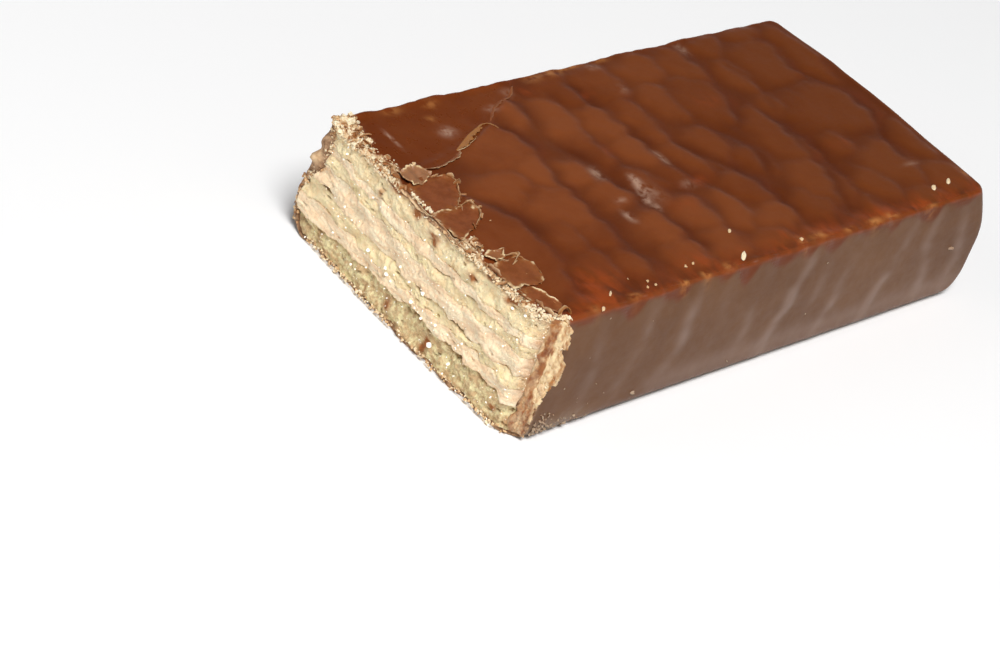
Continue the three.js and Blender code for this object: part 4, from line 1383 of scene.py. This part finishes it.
def strayLumps():
    # single crumbs of a given length and width on the upper face
    spots = np.array(strayCrumbs)
    ball, ballFaces = ballShape(2)
    turn = math.radians(crumbs["strayTurn"])
    longWay = np.array([math.cos(turn), math.sin(turn), 0])
    shortWay = np.array([-math.sin(turn), math.cos(turn), 0])
    middles = pointsAt(spots[:, 0], spots[:, 1], topAt(spots[:, 0], spots[:, 1]) + 0.04)
    across = ball[:, 1:2] * shortWay + crumbs["strayHeight"] * ball[:, 2:] * (0, 0, 1)
    points = middles[:, None] + spots[:, 2, None, None] * ball[:, :1] * longWay
    points = points + spots[:, 3, None, None] * across
    dents = smoothNoise(points.reshape(-1, 3), 0.13, 77).reshape(len(spots), -1, 1)
    points = (points + crumbs["strayDents"] * dents).reshape(-1, 3)
    faces = (ballFaces[None] + (np.arange(len(spots)) * len(ball))[:, None, None]).reshape(-1, 3)
    return points, faces, np.repeat(0.36 + 0.5 * spots[:, 2], len(ball))


def waferCrumbs(random, finish):
    spots = {}
    count = crumbs["onCut"]
    y, z = random.uniform(-wallY, wallY, count), 3.0 + (bar["height"] - 3.5) * random.power(1.3, count)
    y = y + spreadAt(0 * y, y, z)
    near = np.arange(count) < crumbs["nearCut"]
    y = np.where(near, -halfWidth + 0.9 + 3.2 * random.power(0.8, count), y)
    spots["onCut"] = pointsAt(cutFace(y, z) - random.uniform(-0.2, 0.1, count), y, z)
    spots["onEdge"] = bandSpots(random, crumbs["onEdge"], -halfWidth + 0.2, halfWidth - 0.3, (-0.4, 0.02))
    heap = bandSpots(random, crumbs["heap"], 11.5, halfWidth - 0.1, (-0.5, 0.0))
    heap[:, 2] += 0.55 * random.uniform(0, 1, len(heap)) * smoothStep(heap[:, 1], 12.6, 15.0)
    spots["heap"] = heap
    spots["corner"] = bandSpots(random, crumbs["corner"], -halfWidth, -12.5, (-0.5, 0.1))
    count = crumbs["onBurr"]
    heights, reach = np.array(sideBurr["reach"]).T
    z = random.uniform(heights[0], heights[-1], count)
    out = np.interp(z, heights, reach) * random.power(2.5, count)
    y = -halfWidth + 0.3 * random.uniform(0, 1, count) - 0.9 * out
    spots["onBurr"] = pointsAt(cutAt(np.maximum(y, -halfWidth), z) - 0.15 + 0.22 * out, y, z)[z > 4.3]
    share = random.uniform(0, 1, crumbs["whiteOnFilm"])
    x, y = -1.15 + random.uniform(-0.1, 0.35, len(share)), lerp(3.9, 0.6, share)
    spots["whiteOnFilm"] = pointsAt(x, y, topAt(x, y) + random.uniform(0.05, 0.3, len(share)))

    other = np.random.default_rng(crumbs["seed"] + 1)
    count = crumbs["onFarWall"]
    y = halfWidth - 0.1 - (bar["coatSide"] + 0.1) * other.power(1.1, count)
    z = 0.8 + (bar["height"] - 1.4) * other.power(1.3, count)
    y = y + spreadAt(0 * y, y, z)
    onFarWall = pointsAt(cutAt(y, z) - 0.03, y, z)
    count = crumbs["onFloorEdge"]
    y, z = other.uniform(0.7 - halfWidth, halfWidth - 1.0, count), other.uniform(0.26, 0.8, count)
    onFloorEdge = pointsAt(cutAt(y, z) - 0.02, y, z)
    parts = [lumpsAt(other, "onFarWall", onFarWall), lumpsAt(other, "onFloorEdge", onFloorEdge)]
    for kind in ("onCut", "onEdge", "heap", "corner", "onBurr", "whiteOnFilm"):
        parts.append(lumpsAt(random, kind, spots[kind]))
    points, faces, values = joined([*parts, strayLumps()])
    makePiece("waferCrumbs", points, faces, finish, (), {"shade": values}, smooth=False)


def chocolateCrumbs(random, finish):
    onBand = bandSpots(random, crumbs["brownOnEdge"], -halfWidth, halfWidth, (-0.3, 0.12))
    count = crumbs["onSide"]
    x, z = 0.9 + random.exponential(2.0, count), 0.4 + random.gamma(1.6, 0.5, count)
    onSide = pointsAt(x, nearSideAt(x, z) - 0.03, z)
    x, z, sizes = np.array(sideCrumbs).T
    parts = [
        lumpsAt(random, "brownOnEdge", onBand),
        lumpsAt(random, "onSide", onSide),
        brokenLumps(pointsAt(x, nearSideAt(x, z), z), sizes, random, 2, (0.25, 0.9)),
    ]
    points, faces, values = joined(parts)
    fromBand = np.arange(len(values)) < len(parts[0][0])
    fields = {
        "pale": np.where(fromBand, 0.3 + 0.5 * values**1.5, 0.2 + 0.4 * values),
        "thin": 0.5 * values * fromBand,
        "grey": (0.5 + 0.4 * values) * ~fromBand,
    }
    makePiece("chocolateCrumbs", points, faces, finish, (), fields, smooth=False)


def sugarGlints(random, finish):
    count = crumbs["glints"]
    y, z = random.uniform(-wallY, wallY, count), bar["height"] * random.beta(1.3, 1.6, count)
    spots = pointsAt(cutFace(y, z) - random.uniform(0.0, 0.2, count), y, z)
    y, z, sizes = np.array(clearGlints).T
    parts = [
        lumpsAt(random, "glints", spots),
        brokenLumps(pointsAt(cutFace(y, z) - 0.12, y, z), sizes, random, 2, (0.7, 1.0), 0.12),
    ]
    points, faces, values = joined(parts)
    makePiece("sugarGlints", points, faces, finish, (), {"pale": values}, smooth=False)


def crumbPieces(crumbLooks, filmLooks, glintLooks):
    random = np.random.default_rng(crumbs["seed"])
    waferCrumbs(random, crumbLooks)
    chocolateCrumbs(random, filmLooks)
    sugarGlints(random, glintLooks)


# Torn films and curls of chocolate

filmLook = {
    "brown": (116, 56, 25), "light": (132, 70, 38), "thin": (178, 118, 60), "pale": (242, 214, 168),
    "grey": (160, 140, 120), "roughness": 0.34, "bump": (0.05, 0.5),
    "specular": 0.38, "scatter": 0.1, "scatterScale": 0.0006, "scatterRadius": (1.0, 0.5, 0.25),
}
# the sugar grains are painted white and glow a little: painted highlights
glintLook = {
    "light": (255, 255, 252), "dark": (250, 246, 232), "roughness": 0.25, "specular": 0.8, "paintedGlow": 0.3,
}


def filmFinish():
    look = filmLook
    finish = Finish("chocolateFilm", look)
    colour = finish.between(finish.step(finish.noise(0.9, 4, 0.6), 0.35, 0.65), "brown", "light")
    for name in ("thin", "pale", "grey"):
        colour = finish.over(colour, finish.field(name), name)
    grain = finish.noise(0.3, 4, 0.6)
    finish.food(colour, look["roughness"] + 0.2 * grain, grain)
    return finish


def glintFinish():
    look = glintLook
    finish = Finish("sugarGlint", look)
    colour = finish.between(finish.noise(0.2), "dark", "light")
    # painted highlight: a white colour that also glows
    finish.surface({
        "Base Color": colour, "Roughness": look["roughness"], "Specular IOR Level": look["specular"],
        "Emission Color": colour, "Emission Strength": look["paintedGlow"],
    })
    return finish


def nearSideAt(x, z):
    # y of the near side's surface
    return -(sideAt(z) + nearDrips(x, z))


def thinSheet(grid, thickness, fields):
    # a closed sheet about a grid of points, with its fields given once for both of its faces
    along, across = np.gradient(grid, axis=0), np.gradient(grid, axis=1)
    normal = np.cross(along, across)
    normal /= np.linalg.norm(normal, axis=-1, keepdims=True) + 1e-12
    points = np.stack([grid + normal * thickness / 2, grid - normal * thickness / 2])
    numbers = np.arange(points[..., 0].size).reshape(points.shape[:3])
    upper, lower = ringOf(numbers[0]), ringOf(numbers[1])
    rim = np.stack([upper, np.roll(upper, -1), np.roll(lower, -1), lower], -1)
    faces = np.concatenate([quadsOf(numbers[0]), quadsOf(numbers[1])[:, ::-1], rim])
    return points.reshape(-1, 3), faces, np.stack([np.stack([f, f]).reshape(-1) for f in fields], -1)


def smoothLine(corners, count):
    # a smooth line through a few points
    corners = np.array(corners, float)
    padded = np.concatenate([2 * corners[:1] - corners[1:2], corners, 2 * corners[-1:] - corners[-2:-1]])
    t = np.linspace(0, len(corners) - 1 - 1e-9, count)
    i = t.astype(int)
    t = (t - i)[:, None]
    a, b, c, d = (padded[i + k] for k in range(4))
    return 0.5 * (2 * b + (c - a) * t + (2 * a - 5 * b + 4 * c - d) * t**2 + (3 * b - a - 3 * c + d) * t**3)


filmSheets = [  # torn plates by the cut: lift of the edge, crumple, thin and pale shares, seed, outline
    (0.2, 0.03, 0.05, 0.0, 3, [
        (-1.3, 0.7), (-1.0, 5.0), (0.4, 5.5), (2.7, 5.4), (4.2, 4.9), (4.5, 4.0), (3.9, 2.8),
        (3.3, 1.9), (2.0, 0.6), (0.3, 0.4)
    ]),
    (0.2, 0.03, 0.05, 0.0, 9, [
        (-1.4, 0.8), (1.8, 0.6), (3.35, 0.9), (3.5, -0.4), (3.0, -1.3), (1.5, -2.3), (0.2, -2.9),
        (-1.3, -3.6)
    ]),
    (0.35, 0.34, 0.1, 0.12, 4, [
        (-0.5, 6.7), (0.35, 6.9), (1.45, 7.05), (2.95, 5.7), (1.9, 4.95), (1.1, 4.45), (-0.3, 4.5)
    ]),
    (0.3, 0.08, 0.2, 0.05, 5, [(-0.6, -5.8), (0.5, -5.6), (1.7, -5.85), (1.0, -6.8), (-0.2, -7.05)]),
    (0.14, 0.05, 0.1, 0.0, 6, [
        (-1.1, -7.3), (0.8, -6.9), (2.4, -7.1), (3.2, -8.3), (2.9, -10.0), (2.0, -10.9), (0.9, -10.6),
        (-1.0, -10.6)
    ]),
    (0.2, 0.08, 0.08, 0.0, 7, [
        (-0.9, -10.8), (0.75, -10.7), (1.4, -12.2), (2.0, -13.7), (0.9, -14.6), (-0.5, -13.0)
    ]),
]
filmCurls = [  # curled edges: width, first slope and turn in degrees, thin and pale shares, seed, path
    (0.62, 8, 70, 0.1, 0.55, 1, [
        (1.6, 6.9), (2.4, 6.6), (4.05, 6.4), (5.74, 6.7), (7.35, 7.3), (8.3, 8.1)
    ]),
    (0.72, 12, 30, 0.75, 0.0, 13, [(7.8, 7.9), (9.4, 8.85), (10.9, 9.65), (12.6, 10.3)]),
    (0.34, 25, 60, 0.3, 0.9, 2, [(7.8, 7.8), (8.9, 7.95), (10.1, 8.45), (11.1, 9.0)]),
    (0.32, 15, 50, 0.7, 0.2, 14, [(12.3, 10.2), (13.1, 10.5), (13.9, 10.25), (14.3, 9.3)]),
    (0.3, 5, 40, 0.1, 0.1, 3, [(14.3, 10.6), (15.4, 11.7), (16.8, 12.7), (18.9, 13.3), (20.4, 14.5)]),
    (0.42, 25, 110, 0.4, 0.5, 4, [
        (2.69, 5.36), (4.21, 4.86), (4.5, 4.04), (3.89, 2.81), (3.29, 1.94), (1.8, 0.54)
    ]),
    (0.45, 25, 120, 0.4, 0.65, 5, [(1.8, 0.6), (3.35, 0.95), (3.5, -0.4), (3.0, -1.3), (1.5, -2.3)]),
    (0.3, 40, 60, 0.4, 0.75, 6, [
        (-0.85, 4.96), (-1.4, 1.45), (-1.2, 0.23), (-1.4, -1.71), (-1.55, -3.34), (-1.5, -4.9)
    ]),
    (0.35, 40, 90, 0.5, 0.7, 7, [(0.57, -7.31), (1.14, -6.49), (2.2, -6.7), (2.28, -7.24), (1.51, -7.65)]),
    (0.6, 50, 70, 0.2, 0.85, 8, [(-1.1, -7.0), (-1.0, -8.0), (-0.9, -8.7)]),
    (0.22, 20, 60, 0.8, 0.3, 9, [(2.39, -7.11), (3.2, -8.25), (2.9, -10.02), (2.0, -10.87)]),
    (0.22, 20, 60, 0.8, 0.4, 10, [(2.0, -10.8), (1.85, -9.47), (0.67, -9.88), (0.5, -10.4)]),
    (0.75, 35, 110, 0.3, 0.85, 11, [(-0.1, -12.5), (0.0, -13.6), (0.1, -14.9)]),
    (0.25, 20, 50, 0.9, 0.2, 12, [(0.74, -10.75), (1.09, -12.21), (1.77, -13.63), (1.9, -14.2)]),
]
sideBurr = {  # torn edge of the coat down the near side of the cut: height and reach beyond the side
    "reach": [
        (0.5, 0.35), (1.5, 0.55), (4.0, 0.6), (4.4, 0.65), (5.0, 0.7), (6.0, 0.85), (6.6, 1.0), (7.3, 1.65),
        (8.2, 1.75), (9.3, 1.7), (9.9, 1.15), (10.6, 0.75), (11.0, 1.2), (12.0, 1.05), (12.7, 0.75),
        (13.1, 0.5),
    ],
    "inner": 1.15, "core": 0.75, "back": 0.22, "thickness": (0.25, 0.14), "seed": 21,
}
ringCurl = {"centre": (1.3, -15.0), "radius": 0.6, "width": 0.42, "opening": 50, "lean": 24}


def outlineReach(corners, angle):
    # how far a star-shaped outline about the origin lies in each direction
    order = np.argsort(np.arctan2(corners[:, 1], corners[:, 0]))
    corners = corners[order]
    starts = np.arctan2(corners[:, 1], corners[:, 0])
    first = (np.searchsorted(starts, angle) - 1) % len(corners)
    a, b = corners[first], corners[(first + 1) % len(corners)]
    edge = b - a
    area = a[..., 0] * b[..., 1] - a[..., 1] * b[..., 0]
    return area / (np.cos(angle) * edge[..., 1] - np.sin(angle) * edge[..., 0])


def filmSheet(lift, crumple, thin, pale, seed, outline, steps=44):
    corners = np.array(outline)
    centre = (corners.min(0) + corners.max(0)) / 2
    a, b = np.meshgrid(*[np.linspace(-1, 1, steps)] * 2, indexing="ij")
    share, angle = np.maximum(np.abs(a), np.abs(b)), np.arctan2(b, a)
    length = outlineReach(corners - centre, angle)
    edgePlace = pointsAt(length * np.cos(angle), length * np.sin(angle), 0).reshape(-1, 3)
    length = length + 0.34 * share**3 * roughNoise(edgePlace, 0.8, seed, 4, 0.7).reshape(angle.shape)
    x, y = centre[0] + share * length * np.cos(angle), centre[1] + share * length * np.sin(angle)
    flat = pointsAt(x, y, 0).reshape(-1, 3)
    wrinkle = roughNoise(flat, 1.3, seed + 9).reshape(x.shape)
    z = topAt(x, y) + 0.09 + lift * share**6 * np.clip(0.45 + wrinkle, 0, 1) + crumple * wrinkle
    ragged = roughNoise(flat, 0.5, seed + 19, 3, 0.6).reshape(x.shape)
    edge = smoothStep(share + 0.2 * ragged, 0.86, 0.98) * smoothStep(wrinkle + 0.4 * ragged, 0.0, 0.4)
    band = smoothStep(share + 0.3 * ragged, 0.6, 0.95) * np.clip(0.7 + 1.2 * wrinkle, 0.1, 1)
    fields = [thin + (1 - thin) * 0.32 * band, pale + (1 - pale) * 0.85 * edge]
    return thinSheet(pointsAt(x, y, z), 0.1 + 0 * x[..., None], fields)


def curledStrip(path, out, over, widths, slope, turn, thin, pale, seed, thickness=0.07, across=9):
    # a strip rooted on a path, leaving it along out and curling towards over
    t = np.linspace(0, 1, across)
    angle = np.radians(slope + turn * t)
    step = 1 / (across - 1)
    outward = np.concatenate([[0], np.cumsum(np.cos(angle[:-1]))]) * step
    upward = np.concatenate([[0], np.cumsum(np.sin(angle[:-1]))]) * step
    ragged = np.clip(1 + 1.1 * roughNoise(path, 0.8, 900 + seed, 3, 0.7), 0.2, 2)
    widths = (widths * ragged)[:, None, None]
    bent = outward[None, :, None] * out[:, None] + upward[None, :, None] * over[:, None]
    grid = path[:, None] + widths * bent
    crumple = smoothNoise(grid.reshape(-1, 3), 0.5, 950 + seed).reshape(len(path), -1, 1)
    grid = grid + 0.05 * t[None, :, None] * crumple
    edge = np.broadcast_to(t**2, grid.shape[:2])
    patchy = np.clip(0.55 + roughNoise(grid.reshape(-1, 3), 0.7, 960 + seed), 0, 1).reshape(grid.shape[:2])
    fade = thickness * (1 - 0.5 * t)[None, :, None]
    thicknesses = np.broadcast_to(fade, grid.shape[:2] + (1,))
    return thinSheet(grid, thicknesses, [thin + 0 * edge, pale * edge * patchy])


def curlOnTop(width, slope, turn, thin, pale, seed, path):
    line = smoothLine(path, 14 * len(path))
    heading = np.gradient(line, axis=0)
    heading /= np.linalg.norm(heading, axis=-1, keepdims=True)
    out = pointsAt(heading[:, 1], -heading[:, 0], 0)
    root = pointsAt(line[:, 0], line[:, 1], topAt(line[:, 0], line[:, 1]) - 0.02)
    taper = np.sin(math.pi * np.linspace(0.06, 0.94, len(line))) ** 0.5
    over = np.broadcast_to(np.array([0.0, 0.0, 1.0]), out.shape)
    return curledStrip(root, out, over, width * taper, slope, turn, thin, pale, seed)


def burrSlab():
    heights, reach = np.array(sideBurr["reach"]).T
    seed = sideBurr["seed"]
    z, v = np.meshgrid(np.linspace(heights[0], heights[-1], 190), np.linspace(0, 1, 40), indexing="ij")
    line = pointsAt(0, 0, z).reshape(-1, 3)
    ragged = roughNoise(line, 0.8, seed, 4, 0.75).reshape(z.shape)
    beyond = np.interp(z, heights, reach) * (1 + 0.5 * ragged) + 0.08 * ragged
    root = -halfWidth + sideBurr["inner"] + 0.25 * smoothNoise(line, 0.9, seed + 3).reshape(z.shape)
    y = lerp(root, -halfWidth - beyond, v)
    place = pointsAt(0, y, z).reshape(-1, 3)
    crumple = roughNoise(place, (1.0, 0.6, 0.9), seed + 5, 4, 0.7).reshape(z.shape)
    outside = np.clip(-halfWidth - y, 0, None)
    low = 1 - smoothStep(z, 3.8, 5.0)
    seam = smoothStep(v, 0.0, 0.25)
    x = cutAt(np.maximum(y, -halfWidth), z) + lerp(0.4, -0.12, seam) + sideBurr["back"] * outside
    x = x + (0.2 + 0.14 * low) * crumple * (0.3 + 0.7 * seam) + 0.3 * (1 - smoothStep(z, 0.5, 1.2))
    thickness = lerp(*sideBurr["thickness"], v)[..., None]
    flakes = roughNoise(place, (1.0, 0.32, 1.1), seed + 6, 4, 0.65).reshape(z.shape)
    fromRoot = root - y + 0.25 * flakes
    coreEnd = smoothStep(fromRoot, sideBurr["core"], sideBurr["core"] + 0.45)
    core = smoothStep(fromRoot, 0.05, 0.5) * (1 - coreEnd)
    core = np.maximum(core, 0.8 * low)
    pale = np.clip(lerp(0.66 + 1.6 * flakes, 0.04 + 0.2 * low + 0.8 * flakes, core), 0, 1)
    thin = np.clip(lerp(0.9, 0.42 - 0.1 * low + 0.8 * crumple, core), 0, 1)
    return thinSheet(pointsAt(x, y, z), thickness, [thin, pale])


def looseCurls():
    # small shavings lying in the torn band along the cut's upper edge
    random = np.random.default_rng(crumbs["seed"] + 1)
    spots = bandSpots(random, crumbs["curls"], -halfWidth + 0.3, halfWidth, (-0.1, 0.1))
    spots = [spots, bandSpots(random, crumbs["farCurls"], 11.0, halfWidth, (0.0, 0.35))]
    for number in crumbs["clumpedCurls"]:
        line = smoothLine(filmCurls[number][-1], crumbs["clumps"])
        line = line + random.uniform(-0.12, 0.15, line.shape)
        spots.append(pointsAt(line[:, 0], line[:, 1], topAt(line[:, 0], line[:, 1]) + 0.1))
    spots = np.concatenate(spots)
    parts = []
    for i, spot in enumerate(spots):
        heading, bend = random.uniform(0, 2 * math.pi), random.uniform(-1.2, 1.2)
        turn = heading + bend * np.linspace(-0.5, 0.5, 9)
        steps = pointsAt(np.cos(turn), np.sin(turn), random.uniform(-0.3, 0.3))
        path = spot + (np.cumsum(steps, 0) - steps.sum(0) / 2) * random.uniform(0.05, 0.12)
        out = pointsAt(np.sin(turn), -np.cos(turn), 0)
        over = np.broadcast_to(np.array([0.0, 0.0, 1.0]), out.shape)
        widths = random.uniform(0.2, 0.5) * np.sin(math.pi * np.linspace(0.15, 0.85, 9))
        slope, rolled = random.uniform(0, 70), random.uniform(40, 200)
        pale = random.uniform(0.2, 1.0)
        parts.append(curledStrip(path, out, over, widths, slope, rolled, 0.5, pale, i, 0.06, 7))
    return parts


def ringStrip():
    # a shaving rolled into a ring that stands on the near corner
    ring = ringCurl
    turn = np.radians(np.linspace(ring["opening"] / 2, 360 - ring["opening"] / 2, 50)) - math.pi / 2
    lean = math.radians(ring["lean"])
    x = ring["centre"][0] + ring["radius"] * np.cos(turn)
    rise = ring["radius"] * np.sin(turn)
    y = ring["centre"][1] + rise * math.sin(lean)
    path = pointsAt(x, y, bar["height"] + 0.1 + rise * math.cos(lean))
    out = np.broadcast_to(np.array([0.0, math.cos(lean), -math.sin(lean)]), path.shape)
    over = pointsAt(np.cos(turn), np.sin(turn) * math.sin(lean), np.sin(turn) * math.cos(lean))
    return curledStrip(path, out, over, np.full(len(path), ring["width"]), 0, 20, 0.7, 1.0, 31)


def filmPiece(finish):
    parts = [filmSheet(*sheet) for sheet in filmSheets] + [curlOnTop(*curl) for curl in filmCurls]
    points, faces, values = joined(parts + [burrSlab(), ringStrip(), *looseCurls()])
    fields = {"thin": values[:, 0], "pale": values[:, 1]}
    makePiece("chocolateFilms", points, faces, finish, (), fields)


# Stage: floor, light and camera

stage = {
    "floorSize": 3.0, "floorColour": (250, 250, 250), "floorLight": (254, 254, 254), "sunk": 0.00005,
    "skyColour": (250, 250, 252), "backdrop": 0.55, "overhead": 0.06,  # strength low down and overhead
    "backdropTop": (0.12, 0.42),  # where the one gives way to the other, as the height of a unit direction
}
lamps = [  # direction to the lamp from the bar, its distance, size and power
    {"name": "softKey", "towards": (-0.3, -0.4, 0.86), "distance": 0.9, "size": 0.4, "power": 8.6},
    {"name": "softFill", "towards": (-0.75, 0.35, 0.55), "distance": 1.1, "size": 0.6, "power": 1.0},
]
camera = {
    "position": (-158.14, -131.66, 149.29), "target": (0.715, -9.442, 7.0),
    "roll": 19.684, "lens": 100.8, "sensor": 36.0,  # the roll in degrees, lens and sensor in millimetres
}


def setStage():
    finish = Finish("paleFloor", stage)
    colour = finish.between(finish.noise(180.0, 2), "floorColour", "floorLight")
    finish.surface({"Base Color": colour, "Roughness": 0.7, "Specular IOR Level": 0.2})
    half = stage["floorSize"] / 2
    mesh = bpy.data.meshes.new("floor")
    corners = [(-half, -half, 0), (half, -half, 0), (half, half, 0), (-half, half, 0)]
    mesh.from_pydata(corners, [], [(0, 1, 2, 3)])
    mesh.materials.append(finish.material)
    floor = bpy.data.objects.new("floor", mesh)
    floor.location.z = -stage["sunk"]
    bpy.context.scene.collection.objects.link(floor)

    world = bpy.data.worlds.new("softSky")
    world.use_nodes = True
    sky = Sky(world.node_tree)
    sky.gradient()
    bpy.context.scene.world = world

    for lamp in lamps:
        light = bpy.data.lights.new(lamp["name"], "AREA")
        light.shape = "DISK"
        light.size = lamp["size"]
        light.energy = lamp["power"]
        holder = bpy.data.objects.new(lamp["name"], light)
        towards = Vector(lamp["towards"]).normalized()
        holder.location = towards * lamp["distance"]
        holder.rotation_mode = "QUATERNION"
        holder.rotation_quaternion = towards.to_track_quat("Z", "Y")
        bpy.context.scene.collection.objects.link(holder)
    print("floor, sky and lamps set")


def setCamera():
    data = bpy.data.cameras.new("photoView")
    data.lens = camera["lens"]
    data.sensor_width = camera["sensor"]
    data.clip_start, data.clip_end = 0.01, 10.0
    holder = bpy.data.objects.new("photoView", data)
    position, target = Vector(toFrame(camera["position"])), Vector(toFrame(camera["target"]))
    turn = (target - position).to_track_quat("-Z", "Y")
    holder.location = position
    holder.rotation_mode = "QUATERNION"
    holder.rotation_quaternion = turn @ Quaternion((0, 0, 1), math.radians(camera["roll"]))
    bpy.context.scene.collection.objects.link(holder)
    bpy.context.scene.camera = holder
    bpy.context.scene.view_settings.view_transform = "Standard"
    print("camera set")


setCamera()
setStage()
coatPiece(chocolateFinish())
allLayers()
films = filmFinish()
filmPiece(films)
crumbPieces(crumbFinish(), films, glintFinish())
